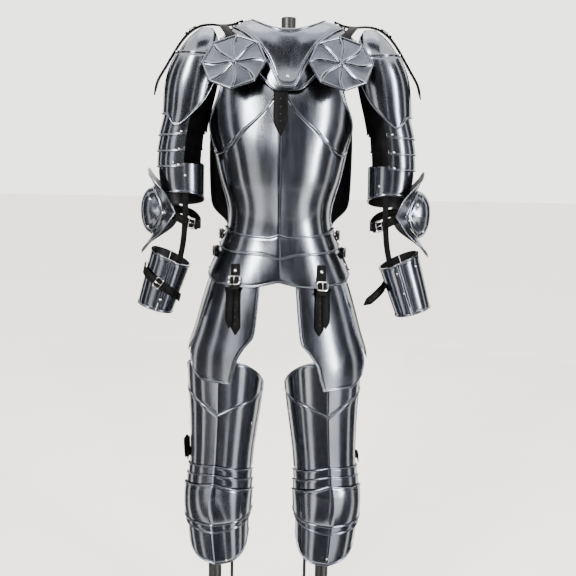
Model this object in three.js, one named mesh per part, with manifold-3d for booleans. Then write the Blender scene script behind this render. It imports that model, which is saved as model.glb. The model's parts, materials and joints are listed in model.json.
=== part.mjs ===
// A suit of plate armour on a steel stand: gorget, breast and back, fauld, tassets, arm and leg plates.
// Millimetres, +Z up. The front looks along -Y, and X is 0 on the suit's middle plane.
// The left side, at +X, is modelled, and the right side is its mirror.
import * as THREE from "three";
import Module from "manifold-3d";

const wasm = await Module();
wasm.setup();

// Sizes that the whole suit shares.
const PLATE = 1.6; // wall of a steel plate
const GAP = 0.8; // air between plates that lap
const LAP = PLATE + GAP; // each plate that lies over another is this much further out
const LEATHER = 2.6; // wall of a strap
const SEAT = 0.4; // air under a strap that lies on a plate
const RIM = 1.8; // height of a rolled edge
const RIM_WIDTH = 4; // width of a rolled edge
const BEAD = 2.2; // height of a raised line
const DEG = Math.PI / 180;

// Materials, by the name of the finish.
const FINISH = {
  steel: { color: 0xa9a9ae, roughness: 0.22, metalness: 1 },
  leather: { color: 0x16130f, roughness: 0.55, metalness: 0 },
  stand: { color: 0x101012, roughness: 0.45, metalness: 0.3 },
};

// A monotone cubic through a table: column `to` against column `from`, held flat past its ends.
function smooth(rows, from, to) {
  const x = rows.map((row) => row[from]);
  const y = rows.map((row) => row[to]);
  const rise = x.slice(1).map((v, i) => (y[i + 1] - y[i]) / (v - x[i]));
  const slope = y.map((_, i) => {
    if (i === 0) return rise[0];
    if (i === y.length - 1) return rise[i - 1];
    const [a, b] = [rise[i - 1], rise[i]];
    return a * b <= 0 ? 0 : (2 * a * b) / (a + b);
  });
  return (t) => {
    if (t <= x[0]) return y[0];
    if (t >= x[x.length - 1]) return y[y.length - 1];
    const i = x.findIndex((v) => v > t) - 1;
    const h = x[i + 1] - x[i];
    const s = (t - x[i]) / h;
    const [s2, s3] = [s * s, s * s * s];
    return (
      (2 * s3 - 3 * s2 + 1) * y[i] +
      (s3 - 2 * s2 + s) * h * slope[i] +
      (3 * s2 - 2 * s3) * y[i + 1] +
      (s3 - s2) * h * slope[i + 1]
    );
  };
}

const mix = (a, b, t) => a + (b - a) * t;

// A skin is a function of an angle from the front, in degrees, and a height. This one is a tube with
// rounded-square sections: the table gives centre, half width and depth to front and back at each height.
function tube(rows, { fullness = 0.05, keel = () => 0, keelWidth = 12 } = {}) {
  const [x, y, wide, front, back] = ["x", "y", "wide", "front", "back"].map((key) => smooth(rows, "z", key));
  return (angle, z) => {
    const a = angle * DEG;
    const full = 1 + fullness * Math.sin(2 * a) ** 2;
    const deep = Math.cos(a) > 0 ? front(z) : back(z);
    const ridge = keel(z) * Math.exp(-Math.abs(angle) / keelWidth);
    return new THREE.Vector3(x(z) + wide(z) * Math.sin(a) * full, y(z) - deep * Math.cos(a) * full - ridge, z);
  };
}

// The outward direction of a skin at a point.
function outward(skin, angle, z) {
  const [da, dz] = [0.3, 0.5];
  const across = skin(angle + da, z).sub(skin(angle - da, z));
  const up = skin(angle, z + dz * (skin.step ?? 1)).sub(skin(angle, z - dz * (skin.step ?? 1)));
  return across.cross(up).normalize();
}

// The angle, between two others, at which a skin reaches a distance x from the middle plane.
function angleAt(skin, x, z, low = 0, high = 90) {
  for (let i = 0; i < 30; i++) {
    const middle = (low + high) / 2;
    if (skin(middle, z).x < x) low = middle;
    else high = middle;
  }
  return low;
}

// A closed solid between two grids of points, outer and inner. Points that coincide are joined.
function wall(outer, inner, loop = false) {
  const [rows, cols] = [outer.length, outer[0].length];
  const points = [];
  const known = new Map();
  const index = [outer, inner].map((grid) =>
    grid.map((row) =>
      row.map((p) => {
        const key = p.toArray().map((v) => Math.round(v * 1e4)).join();
        if (!known.has(key)) known.set(key, points.push(p) - 1);
        return known.get(key);
      }),
    ),
  );
  const triangles = [];
  const quad = (a, b, c, d) => {
    for (const t of [[a, b, c], [a, c, d]]) if (new Set(t).size === 3) triangles.push(t);
  };
  const [out, into] = index;
  const last = rows - 1;
  const across = loop ? cols : cols - 1;
  for (let j = 0; j < across; j++) {
    const k = (j + 1) % cols;
    for (let i = 0; i < last; i++) {
      quad(out[i][j], out[i][k], out[i + 1][k], out[i + 1][j]);
      quad(into[i][j], into[i + 1][j], into[i + 1][k], into[i][k]);
    }
    quad(out[0][k], out[0][j], into[0][j], into[0][k]);
    quad(out[last][j], out[last][k], into[last][k], into[last][j]);
  }
  if (!loop) {
    for (let i = 0; i < last; i++) {
      quad(out[i][0], out[i + 1][0], into[i + 1][0], into[i][0]);
      quad(out[i + 1][cols - 1], out[i][cols - 1], into[i][cols - 1], into[i + 1][cols - 1]);
    }
  }
  return closedGeometry(points, triangles);
}

// A geometry from points and triangles, turned so that its faces point out.
function closedGeometry(points, triangles) {
  const volume = triangles.reduce((sum, [a, b, c]) => {
    return sum + points[a].dot(new THREE.Vector3().crossVectors(points[b], points[c]));
  }, 0);
  const order = volume > 0 ? triangles : triangles.map(([a, b, c]) => [a, c, b]);
  const geometry = new THREE.BufferGeometry();
  geometry.setAttribute("position", new THREE.Float32BufferAttribute(points.flatMap((p) => p.toArray()), 3));
  geometry.setIndex(order.flat());
  geometry.computeVertexNormals();
  return geometry;
}

// The rows of a panel: its lines, from the lowest up, with plain rows between them. A line is a function
// of c, -1 to 1 across the panel. A rim raises an end line, and a bead raises a line inside the panel.
function panelRows(lines) {
  const rows = [];
  const low = lines[0];
  const high = lines[lines.length - 1];
  lines.forEach((line, i) => {
    const raised = line.bead ?? 0;
    const rimmed = line.rim ?? 0;
    const at = (shift, lift) => rows.push({ z: (c) => line.z(c) + shift, lift });
    const w = line.width ?? RIM_WIDTH;
    if (line === high && rimmed) at(-1.5 * w, 0);
    if (raised) at(-w / 2, 0);
    at(0, line === low || line === high ? rimmed : raised);
    if (raised) at(w / 2, 0);
    if (line === low && rimmed) at(1.5 * w, 0);
    for (let k = 1; k < (line.rows ?? 1) && i < lines.length - 1; k++) {
      const share = k / line.rows;
      rows.push({ z: (c) => mix(line.z(c), lines[i + 1].z(c), share), lift: 0 });
    }
  });
  return rows;
}

// A plate or strap cut from a skin. `edges` gives its left and right angle at a height, `lines` its lower
// and upper edges and raised lines, `out` its distance outside the skin, and `sideRim` a rolled side edge.
function panel({ skin, edges, lines, columns = 12, out = 0, thick = PLATE, sideRim = 0, dome = () => 0 }) {
  const across = Array.from({ length: columns + 1 }, (_, i) => ({ c: (2 * i) / columns - 1, lift: 0 }));
  if (sideRim) {
    across.splice(1, 0, { c: sideRim - 1, lift: 0 });
    across.splice(-1, 0, { c: 1 - sideRim, lift: 0 });
    across[0].lift = RIM;
    across[across.length - 1].lift = RIM;
  }
  const grids = [[], []];
  for (const row of panelRows(lines)) {
    const pair = [[], []];
    for (const { c, lift } of across) {
      const z = row.z(c);
      const [left, right] = edges(z);
      const angle = mix(left, right, (c + 1) / 2);
      const point = skin(angle, z);
      const normal = outward(skin, angle, z);
      const level = out + dome(c, z);
      pair[0].push(point.clone().addScaledVector(normal, level + Math.max(lift, row.lift)));
      pair[1].push(point.clone().addScaledVector(normal, level - thick));
    }
    grids[0].push(pair[0]);
    grids[1].push(pair[1]);
  }
  return wall(grids[0], grids[1]);
}

// A tube panel that closes on itself, such as an arm's cannon.
function cannon({ skin, lines, columns = 16, out = 0, thick = PLATE }) {
  const grids = [[], []];
  for (const row of panelRows(lines)) {
    const pair = [[], []];
    for (let j = 0; j < columns; j++) {
      const angle = (360 * j) / columns - 180;
      const point = skin(angle, row.z(angle));
      const normal = outward(skin, angle, row.z(angle));
      pair[0].push(point.clone().addScaledVector(normal, out + row.lift));
      pair[1].push(point.clone().addScaledVector(normal, out - thick));
    }
    grids[0].push(pair[0]);
    grids[1].push(pair[1]);
  }
  return wall(grids[0], grids[1], true);
}

// A flat strap along a table of points. `side` is the direction across it, and it narrows to a point at
// its end over the length `tip`.
function strap(rows, { side, wide, thick = LEATHER, tip = 0, steps = 14 }) {
  const path = new THREE.CatmullRomCurve3(rows.map((r) => new THREE.Vector3(r.x, r.y, r.z)), false, "centripetal");
  const length = path.getLength();
  const stops = Array.from({ length: steps + 1 }, (_, i) => i / steps);
  if (tip) stops.splice(-1, 0, 1 - tip / length);
  const across = new THREE.Vector3(...side).normalize();
  const section = [...new Set(stops)].sort((a, b) => a - b).map((t) => {
    const point = path.getPointAt(t);
    const along = path.getTangentAt(t);
    const width = new THREE.Vector3().copy(across).addScaledVector(along, -across.dot(along)).normalize();
    const normal = new THREE.Vector3().crossVectors(along, width).normalize();
    const half = (wide / 2) * (tip ? Math.min(1, Math.max(0.12, ((1 - t) * length) / tip)) : 1);
    return [-1, 1].map((face) =>
      [-1, 1].map((end) => point.clone().addScaledVector(width, end * half).addScaledVector(normal, (face * thick) / 2)),
    );
  });
  return wall(section.map((s) => s[0]), section.map((s) => s[1]));
}

// A solid of manifold-3d from a geometry, and back.
function toSolid(geometry) {
  const plain = geometry.index ? geometry.toNonIndexed() : geometry;
  const at = plain.getAttribute("position");
  const known = new Map();
  const points = [];
  const order = [];
  for (let i = 0; i < at.count; i++) {
    const p = [at.getX(i), at.getY(i), at.getZ(i)];
    const key = p.map((v) => Math.round(v * 1e3)).join();
    if (!known.has(key)) {
      known.set(key, points.length / 3);
      points.push(...p);
    }
    order.push(known.get(key));
  }
  const whole = [];
  for (let i = 0; i < order.length; i += 3) {
    const t = order.slice(i, i + 3);
    if (new Set(t).size === 3) whole.push(...t);
  }
  return new wasm.Manifold(
    new wasm.Mesh({ numProp: 3, vertProperties: new Float32Array(points), triVerts: new Uint32Array(whole) }),
  );
}

function toGeometry(solid) {
  const mesh = solid.getMesh();
  const geometry = new THREE.BufferGeometry();
  geometry.setAttribute("position", new THREE.Float32BufferAttribute(mesh.vertProperties, 3));
  geometry.setIndex([...mesh.triVerts]);
  return geometry;
}

const suit = new THREE.Group();

function add(group, name, finish, geometry) {
  const mesh = new THREE.Mesh(geometry, new THREE.MeshStandardMaterial({ ...FINISH[finish], side: THREE.DoubleSide }));
  mesh.name = name;
  group.add(mesh);
  return mesh;
}

// The trunk: one skin from the chest down to the hem of the tassets, for all the plates round it.
const TRUNK = [
  { z: 740, x: 0, y: 0, wide: 205, front: 147, back: 128 },
  { z: 821, x: 0, y: 0, wide: 201, front: 144, back: 128 },
  { z: 870, x: 0, y: 0, wide: 186, front: 138, back: 126 },
  { z: 925, x: 0, y: 0, wide: 171, front: 133, back: 122 },
  { z: 985, x: 0, y: 0, wide: 152, front: 124, back: 114 },
  { z: 1032, x: 0, y: 0, wide: 131, front: 113, back: 106 },
  { z: 1047, x: 0, y: 0, wide: 123.5, front: 109, back: 102.5 },
  { z: 1062, x: 0, y: 0, wide: 117, front: 106, back: 99 },
  { z: 1076, x: 0, y: 0, wide: 112, front: 104, back: 96.5 },
  { z: 1090, x: 0, y: 0, wide: 108.5, front: 103.2, back: 95 },
  { z: 1112, x: 0, y: 0, wide: 107, front: 105, back: 95 },
  { z: 1140, x: 0, y: 0, wide: 112, front: 111, back: 98 },
  { z: 1180, x: 0, y: 0, wide: 124, front: 118, back: 104 },
  { z: 1240, x: 0, y: 0, wide: 136, front: 121, back: 111 },
  { z: 1293, x: 0, y: 0, wide: 149, front: 116, back: 115 },
  { z: 1340, x: 0, y: 0, wide: 151, front: 108, back: 116 },
  { z: 1380, x: 0, y: 0, wide: 149, front: 97, back: 113 },
  { z: 1420, x: 0, y: 0, wide: 140, front: 82, back: 105 },
];
const KEEL = [
  { z: 960, high: 0 },
  { z: 1040, high: 4 },
  { z: 1160, high: 7 },
  { z: 1300, high: 5 },
  { z: 1390, high: 0 },
];
const trunk = tube(TRUNK, { keel: smooth(KEEL, "z", "high"), keelWidth: 9 });

const even = (key) => (rows) => {
  const curve = smooth(rows, "c", key);
  return (c) => curve(Math.abs(c));
};
const lineOf = even("z");

// Breastplate: armholes at its sides, a raised line over each breast, and a keel.
const FRONT_LAME = 78; // angle where the front lames end
const REAR_LAME = 102; // angle where the rear ones start
const TRUNK_COLUMNS = 16;
const WAIST = [1060, 1068, 1076, 1084, 1098];
const waistRows = WAIST.map((z) => ({ z: () => z }));
const BREAST_EDGE = [
  { z: 1100, angle: FRONT_LAME },
  { z: 1180, angle: 84 },
  { z: 1240, angle: 84 },
  { z: 1285, angle: 79 },
  { z: 1310, angle: 66 },
  { z: 1345, angle: 53 },
  { z: 1380, angle: 48 },
  { z: 1412, angle: 45 },
];
const BREAST_LINE = [
  { c: 0, z: 1352 },
  { c: 0.08, z: 1347 },
  { c: 0.2, z: 1316 },
  { c: 0.34, z: 1284 },
  { c: 0.5, z: 1253 },
  { c: 0.66, z: 1238 },
  { c: 0.82, z: 1235 },
  { c: 1, z: 1240 },
];
function breastplate() {
  const edge = smooth(BREAST_EDGE, "z", "angle");
  return panel({
    skin: trunk,
    edges: (z) => [-edge(z), edge(z)],
    columns: TRUNK_COLUMNS,
    sideRim: 0.035,
    lines: [
      ...waistRows.slice(0, -1),
      { z: () => WAIST[4], rows: 4 },
      { z: lineOf(BREAST_LINE), rows: 3, bead: BEAD, width: 5 },
      { z: () => 1412 },
    ],
  });
}

// Backplate: a plain shell from side to side, cut away for the arms. Over the waist it stands out wider
// than the breastplate, which leaves a dark gap down each side.
const BACK_WIDE = [
  { z: 1091, wide: 108.5 },
  { z: 1101, wide: 131 },
  { z: 1111, wide: 143 },
  { z: 1125, wide: 148 },
  { z: 1180, wide: 150 },
  { z: 1293, wide: 151 },
];
const back = tube(
  [
    ...TRUNK.filter((row) => row.z < 1091),
    ...BACK_WIDE.map((row) => ({ x: 0, y: 0, front: 104, back: smooth(TRUNK, "z", "back")(row.z), ...row })),
    ...TRUNK.filter((row) => row.z > 1293),
  ],
);
const BACK_EDGE = [
  { z: 1100, angle: REAR_LAME },
  { z: 1180, angle: 97 },
  { z: 1270, angle: 97 },
  { z: 1330, angle: 116 },
  { z: 1412, angle: 128 },
];
function backplate() {
  const edge = smooth(BACK_EDGE, "z", "angle");
  return panel({
    skin: back,
    edges: (z) => [edge(z), 360 - edge(z)],
    columns: 12,
    lines: [
      ...waistRows.slice(0, -1),
      { z: () => 1091 },
      { z: () => 1101 },
      { z: () => 1112 },
      { z: () => 1126, rows: 5 },
      { z: () => 1412, rim: RIM },
    ],
  });
}

// Fauld: a waist lame over a lower one in front, and one plate behind.
const WAIST_TOP = [
  { c: 0, z: 1080 },
  { c: 0.12, z: 1074 },
  { c: 0.6, z: 1077 },
  { c: 1, z: 1085 },
];
const WAIST_FOOT = [
  { c: 0, z: 1027 },
  { c: 0.22, z: 1035 },
  { c: 0.6, z: 1036 },
  { c: 1, z: 1047 },
];
const FAULD_FOOT = [
  { c: 0, z: 983 },
  { c: 0.3, z: 971 },
  { c: 0.65, z: 974 },
  { c: 1, z: 988 },
];
function waistLame() {
  return panel({
    skin: trunk,
    edges: () => [-FRONT_LAME, FRONT_LAME],
    out: LAP + 1.4,
    columns: TRUNK_COLUMNS,
    lines: [
      { z: lineOf(WAIST_FOOT), rows: 4, rim: RIM, width: 3 },
      { z: lineOf(WAIST_TOP), rim: RIM, width: 3 },
    ],
  });
}
function fauldLame() {
  return panel({
    skin: trunk,
    edges: () => [-FRONT_LAME, FRONT_LAME],
    columns: TRUNK_COLUMNS,
    lines: [{ z: lineOf(FAULD_FOOT), rows: 4, rim: RIM, width: 3 }, { z: () => 1052 }],
  });
}
function culet() {
  return panel({
    skin: trunk,
    edges: () => [REAR_LAME, 360 - REAR_LAME],
    out: LAP + 0.4,
    columns: 12,
    lines: [
      { z: () => 985, rows: 2, rim: RIM, width: 3 },
      { z: () => 1047 },
      ...waistRows.slice(0, 3),
      { z: () => 1087, rim: RIM, width: 3 },
    ],
  });
}

// Side strap: leather inside the lames, closing the gap between front and rear.
function sideStrap() {
  return panel({
    skin: trunk,
    edges: () => [FRONT_LAME - 7, REAR_LAME + 7],
    out: -LAP - 0.3,
    thick: LEATHER,
    columns: 4,
    lines: [{ z: () => 1000, rows: 3 }, { z: () => 1047 }, ...waistRows.slice(0, 3), { z: () => 1084 }],
  });
}

// Tasset: a shaped plate hung below the fauld. The table gives its edges as distances from the middle.
const TASSET = [
  { z: 772, inner: 96, outer: 160 },
  { z: 780, inner: 94, outer: 170 },
  { z: 795, inner: 89, outer: 183 },
  { z: 822, inner: 82, outer: 187 },
  { z: 850, inner: 66, outer: 180 },
  { z: 872, inner: 48, outer: 171 },
  { z: 925, inner: 41, outer: 154 },
  { z: 996, inner: 35, outer: 131 },
];
const TASSET_IN = -LAP - RIM; // the tasset's face, with its rolled edges clear of the fauld
function tasset() {
  const [inner, outer] = [smooth(TASSET, "z", "inner"), smooth(TASSET, "z", "outer")];
  return panel({
    skin: trunk,
    edges: (z) => [angleAt(trunk, inner(z), z), angleAt(trunk, outer(z), z)],
    out: TASSET_IN,
    columns: 6,
    sideRim: 0.1,
    lines: [
      { z: () => 772, rows: 2, rim: RIM },
      { z: () => 822 },
      { z: () => 848 },
      { z: () => 872, rows: 3 },
      { z: () => 996 },
    ],
  });
}

// Side tasset: the plate behind it over the hip.
const SIDE_TASSET = [
  { z: 812, front: 86, back: 100 },
  { z: 835, front: 72, back: 110 },
  { z: 900, front: 62, back: 116 },
  { z: 994, front: 62, back: 116 },
];
function sideTasset() {
  const [front, back] = [smooth(SIDE_TASSET, "z", "front"), smooth(SIDE_TASSET, "z", "back")];
  return panel({
    skin: trunk,
    edges: (z) => [front(z), back(z)],
    out: TASSET_IN - LAP,
    columns: 5,
    lines: [{ z: () => 812, rows: 5 }, { z: () => 994 }],
  });
}

// A strap that lies on a skin: each stop gives its angle, height and lift off the skin.
function lyingStrap(skin, stops, options) {
  const rows = stops.map(({ angle, z, lift }) => {
    const p = skin(angle, z).addScaledVector(outward(skin, angle, z), lift);
    return { x: p.x, y: p.y, z: p.z };
  });
  const middle = stops[Math.floor(stops.length / 2)];
  const side = skin(middle.angle + 1, middle.z).sub(skin(middle.angle - 1, middle.z)).toArray();
  return strap(rows, { side, ...options });
}
const ON_PLATE = SEAT + LEATHER / 2; // from a plate's face to the middle of a strap on it

// Strap from the gorget down the middle of the breast, with a pointed end.
const BIB_STRAP = { high: 1371, low: 1272, wide: 28, tip: 26 };
function bibStrap() {
  const { high, low, wide, tip } = BIB_STRAP;
  const stops = [0, 0.2, 0.4, 0.6, 0.8, 1].map((t) => {
    return { angle: 0, z: mix(high, low, t), lift: ON_PLATE + (t < 0.5 ? BEAD + 0.5 : 0.9) };
  });
  return lyingStrap(trunk, stops, { wide, tip, steps: 6, side: [1, 0, 0] });
}

// Tasset strap: riveted to the fauld, over its edge and down the tasset to two pointed ends.
const TASSET_STRAP = { x: 86, wide: 19, tip: 14 };
const TASSET_STRAP_LIFT = [
  { z: 1016, lift: ON_PLATE + 0.2 },
  { z: 996, lift: ON_PLATE + 0.2 },
  { z: 980, lift: RIM + ON_PLATE + 0.6 },
  { z: 970, lift: RIM + ON_PLATE + 0.6 },
  { z: 956, lift: TASSET_IN + ON_PLATE + 0.6 },
  { z: 920, lift: TASSET_IN + ON_PLATE + 0.3 },
  { z: 876, lift: TASSET_IN + ON_PLATE + 0.3 },
];
function tassetStrap(seat) {
  const { x, wide, tip } = TASSET_STRAP;
  const stops = TASSET_STRAP_LIFT.map(({ z, lift }) => {
    return { angle: angleAt(trunk, x, z), z, lift: z > 960 ? lift : lift - seat };
  });
  return lyingStrap(trunk, stops, { wide, tip, steps: 12 });
}

// Yoke: the skin of the gorget. Angle 0 is in front, and height runs from 0 at the outer edge, over the
// raised line at 0.35, to 1 at the neck.
const YOKE = [
  { angle: 0, outer_x: 0, outer_y: -115, outer_z: 1357, ridge_x: 0, ridge_y: -115, ridge_z: 1362 },
  { angle: 8, outer_x: 15, outer_y: -115, outer_z: 1357, ridge_x: 13, ridge_y: -115, ridge_z: 1362 },
  { angle: 16, outer_x: 29, outer_y: -114, outer_z: 1358, ridge_x: 19, ridge_y: -112, ridge_z: 1377 },
  { angle: 25, outer_x: 50, outer_y: -104, outer_z: 1380, ridge_x: 32, ridge_y: -99, ridge_z: 1412 },
  { angle: 42, outer_x: 84, outer_y: -84, outer_z: 1408, ridge_x: 56, ridge_y: -80, ridge_z: 1446 },
  { angle: 62, outer_x: 118, outer_y: -50, outer_z: 1440, ridge_x: 92, ridge_y: -46, ridge_z: 1475 },
  { angle: 90, outer_x: 140, outer_y: 2, outer_z: 1462, ridge_x: 114, ridge_y: 2, ridge_z: 1486 },
  { angle: 120, outer_x: 118, outer_y: 78, outer_z: 1446, ridge_x: 88, ridge_y: 58, ridge_z: 1476 },
  { angle: 150, outer_x: 66, outer_y: 118, outer_z: 1424, ridge_x: 46, ridge_y: 86, ridge_z: 1462 },
  { angle: 180, outer_x: 0, outer_y: 130, outer_z: 1414, ridge_x: 0, ridge_y: 98, ridge_z: 1454 },
];
const NECK = { x: 74, front: 62, back: 66, low: 1478, high: 1500 };
const YOKE_RIDGE = 0.35;
const yokeColumns = ["outer_x", "outer_y", "outer_z", "ridge_x", "ridge_y", "ridge_z"].map((k) => smooth(YOKE, "angle", k));
function yoke(angle, height) {
  const turn = Math.abs(((angle + 540) % 360) - 180);
  const side = ((angle + 540) % 360) - 180 < 0 ? -1 : 1;
  const [ox, oy, oz, rx, ry, rz] = yokeColumns.map((column) => column(turn));
  const a = turn * DEG;
  const deep = a < Math.PI / 2 ? NECK.front : NECK.back;
  const neck = [NECK.x * Math.sin(a), -deep * Math.cos(a), mix(NECK.low, NECK.high, Math.sin(a) ** 2)];
  if (height < YOKE_RIDGE) {
    const t = height / YOKE_RIDGE;
    return new THREE.Vector3(side * mix(ox, rx, t), mix(oy, ry, t), mix(oz, rz, t));
  }
  const t = (height - YOKE_RIDGE) / (1 - YOKE_RIDGE);
  const swell = 22 * t * (1 - t);
  return new THREE.Vector3(
    side * (mix(rx, neck[0], t) + swell * Math.sin(a) * 0.3),
    mix(ry, neck[1], t) - swell * Math.cos(a) * 0.8,
    mix(rz, neck[2], t) + swell * 0.45,
  );
}
yoke.step = 0.02;
const YOKE_GAP = 0.22; // degrees left free at each shoulder between front and back
function gorget(from, to, columns) {
  return panel({
    skin: yoke,
    edges: () => [from, to],
    columns,
    lines: [
      { z: () => 0, rows: 2, rim: RIM, width: 0.06 },
      { z: () => YOKE_RIDGE, rows: 3, bead: BEAD, width: 0.07 },
      { z: () => 1, rim: RIM, width: 0.035 },
    ],
  });
}

// Arm: one skin from the elbow up to the top of the shoulder.
const ARM = [
  { z: 1130, x: 214, y: -4, wide: 42, front: 44, back: 44 },
  { z: 1200, x: 218.5, y: -4, wide: 47.5, front: 45, back: 45 },
  { z: 1240, x: 216, y: -4, wide: 47, front: 46, back: 46 },
  { z: 1275, x: 211, y: -4, wide: 44.5, front: 48, back: 48 },
  { z: 1310, x: 203, y: -4, wide: 43, front: 51, back: 51 },
  { z: 1345, x: 197, y: -4, wide: 47, front: 55, back: 54 },
  { z: 1380, x: 190, y: -4, wide: 49, front: 57, back: 55 },
  { z: 1405, x: 184, y: -4, wide: 46, front: 55, back: 53 },
  { z: 1430, x: 176, y: -4, wide: 41, front: 50, back: 48 },
  { z: 1452, x: 169, y: -4, wide: 33, front: 41, back: 40 },
  { z: 1468, x: 165, y: -4, wide: 22, front: 28, back: 28 },
  { z: 1478, x: 163, y: -4, wide: 8, front: 12, back: 12 },
];
const arm = tube(ARM, { fullness: 0.03 });

const PAULDRON_FOOT = [
  { angle: -50, z: 1392 },
  { angle: -43, z: 1362 },
  { angle: -35, z: 1340 },
  { angle: -12, z: 1310 },
  { angle: 15, z: 1287 },
  { angle: 46, z: 1308 },
  { angle: 92, z: 1308 },
  { angle: 150, z: 1298 },
  { angle: 200, z: 1290 },
  { angle: 226, z: 1276 },
];
function pauldron() {
  const foot = smooth(PAULDRON_FOOT, "angle", "z");
  const [from, to] = [-50, 226];
  return panel({
    skin: arm,
    edges: () => [from, to],
    out: 4.2 * LAP,
    columns: 14,
    sideRim: 0.03,
    lines: [
      { z: (c) => foot(mix(from, to, (c + 1) / 2)), rows: 5, rim: RIM },
      { z: () => 1430, rim: RIM, width: 3 },
    ],
  });
}
function pauldronCap() {
  return panel({
    skin: arm,
    edges: () => [-50, 200],
    out: 3 * LAP - 0.3,
    columns: 12,
    lines: [{ z: () => 1418, rows: 2 }, { z: () => 1452 }, { z: () => 1468 }, { z: () => 1477 }],
  });
}

// Arm lames: three bands on the outer side of the arm, each lying over the next one down.
const ARM_LAMES = [
  { foot: 1272, sag: 8, top: 1312, out: 2.9 },
  { foot: 1238, sag: 5, top: 1275, out: 1.9 },
  { foot: 1206, sag: 4, top: 1242, out: 1.1 },
];
function armLame({ foot, sag, top, out }) {
  return panel({
    skin: arm,
    edges: () => [-12, 225],
    out: out * LAP,
    columns: 11,
    lines: [{ z: (c) => foot - sag * (1 + c) * (1 - c), rows: 2, rim: RIM, width: 3 }, { z: () => top }],
  });
}
// The tube of the upper arm: lower at the back of its foot, and higher on the outer side of its top.
function rerebrace() {
  return cannon({
    skin: arm,
    lines: [
      { z: (angle) => 1138 + 16 * Math.cos(angle * DEG), rows: 2, rim: 1.2, width: 3 },
      { z: (angle) => 1216 + 6 * Math.sin(angle * DEG) },
    ],
  });
}

// Couter: a cup on the elbow that points outward, and a wing folded round it. Its angle turns about the
// X axis from the front, up at 90. Height 0 is the wing's free edge and 1 the seam with the cup.
const ELBOW = { x: 236, y: -6, z: 1113, round: 0.86 };
const COUTER = [
  { turn: -180, edge_x: 224, edge_r: 60, seam_x: 256, seam_r: 45 },
  { turn: -150, edge_x: 240, edge_r: 72, seam_x: 262, seam_r: 47 },
  { turn: -116, edge_x: 294, edge_r: 86, seam_x: 276, seam_r: 49 },
  { turn: -90, edge_x: 304, edge_r: 91, seam_x: 281, seam_r: 50 },
  { turn: -64, edge_x: 298, edge_r: 89, seam_x: 276, seam_r: 50 },
  { turn: -30, edge_x: 250, edge_r: 73, seam_x: 258, seam_r: 48 },
  { turn: 0, edge_x: 224, edge_r: 62, seam_x: 247, seam_r: 46 },
  { turn: 30, edge_x: 242, edge_r: 73, seam_x: 256, seam_r: 48 },
  { turn: 64, edge_x: 282, edge_r: 89, seam_x: 270, seam_r: 50 },
  { turn: 90, edge_x: 287, edge_r: 90, seam_x: 273, seam_r: 50 },
  { turn: 116, edge_x: 284, edge_r: 86, seam_x: 271, seam_r: 49 },
  { turn: 150, edge_x: 250, edge_r: 72, seam_x: 260, seam_r: 47 },
  { turn: 180, edge_x: 224, edge_r: 60, seam_x: 256, seam_r: 45 },
];
const CUP_TIP = 304;
const [edgeX, edgeR, seamX, seamR] = ["edge_x", "edge_r", "seam_x", "seam_r"].map((k) => smooth(COUTER, "turn", k));
function aroundElbow(x, radius, turn) {
  const a = turn * DEG;
  return new THREE.Vector3(x, ELBOW.y - radius * Math.cos(a) * ELBOW.round, ELBOW.z + radius * Math.sin(a));
}
function ring(rows, columns, point, thick) {
  const middle = new THREE.Vector3(ELBOW.x, ELBOW.y, ELBOW.z);
  const grids = [0, thick].map((depth) =>
    Array.from({ length: rows + 1 }, (_, i) =>
      Array.from({ length: columns }, (_, j) => {
        const p = point((360 * j) / columns - 180, i / rows);
        return p.addScaledVector(p.clone().sub(middle).normalize(), -depth);
      }),
    ),
  );
  return wall(grids[0], grids[1], true);
}
function couterWing() {
  return ring(2, 20, (turn, t) => {
    return aroundElbow(mix(edgeX(turn), seamX(turn), t), mix(edgeR(turn), seamR(turn), t), turn);
  }, 2);
}
function couterCup() {
  return ring(4, 18, (turn, t) => {
    const swell = t === 1 ? 0 : Math.cos((0.03 + 0.97 * t) * (Math.PI / 2)) ** 0.8;
    const crease = 1 - 0.05 * Math.exp(-Math.abs(turn) / 10) * (1 - t);
    const x = mix(seamX(turn) + 1.6, CUP_TIP, Math.sin((t * Math.PI) / 2));
    return aroundElbow(x, seamR(turn) * swell * crease, turn);
  }, PLATE);
}

// Vambrace: an outer and an inner half round the forearm, in its own frame. It leans out at the wrist.
const FOREARM = [
  { z: -122, x: 0, y: 0, wide: 37.5, front: 37, back: 37 },
  { z: -60, x: 0, y: 0, wide: 41, front: 42, back: 42 },
  { z: 0, x: 0, y: 0, wide: 43.5, front: 46, back: 46 },
];
const forearm = tube(FOREARM, { fullness: 0.03 });
const VAMBRACE = { x: 241, y: -8, z: 1017, lean: 18, from: -10, to: 170, gap: 0.6, length: 117 };
function vambrace(from, to) {
  return panel({
    skin: forearm,
    edges: () => [from, to],
    columns: 8,
    sideRim: 0.06,
    lines: [
      { z: () => -VAMBRACE.length, rows: 3, rim: RIM, width: 3 },
      { z: (c) => 6 * Math.sin(mix(from, to, (c + 1) / 2) * DEG), rim: RIM, width: 3 },
    ],
  });
}

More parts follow.
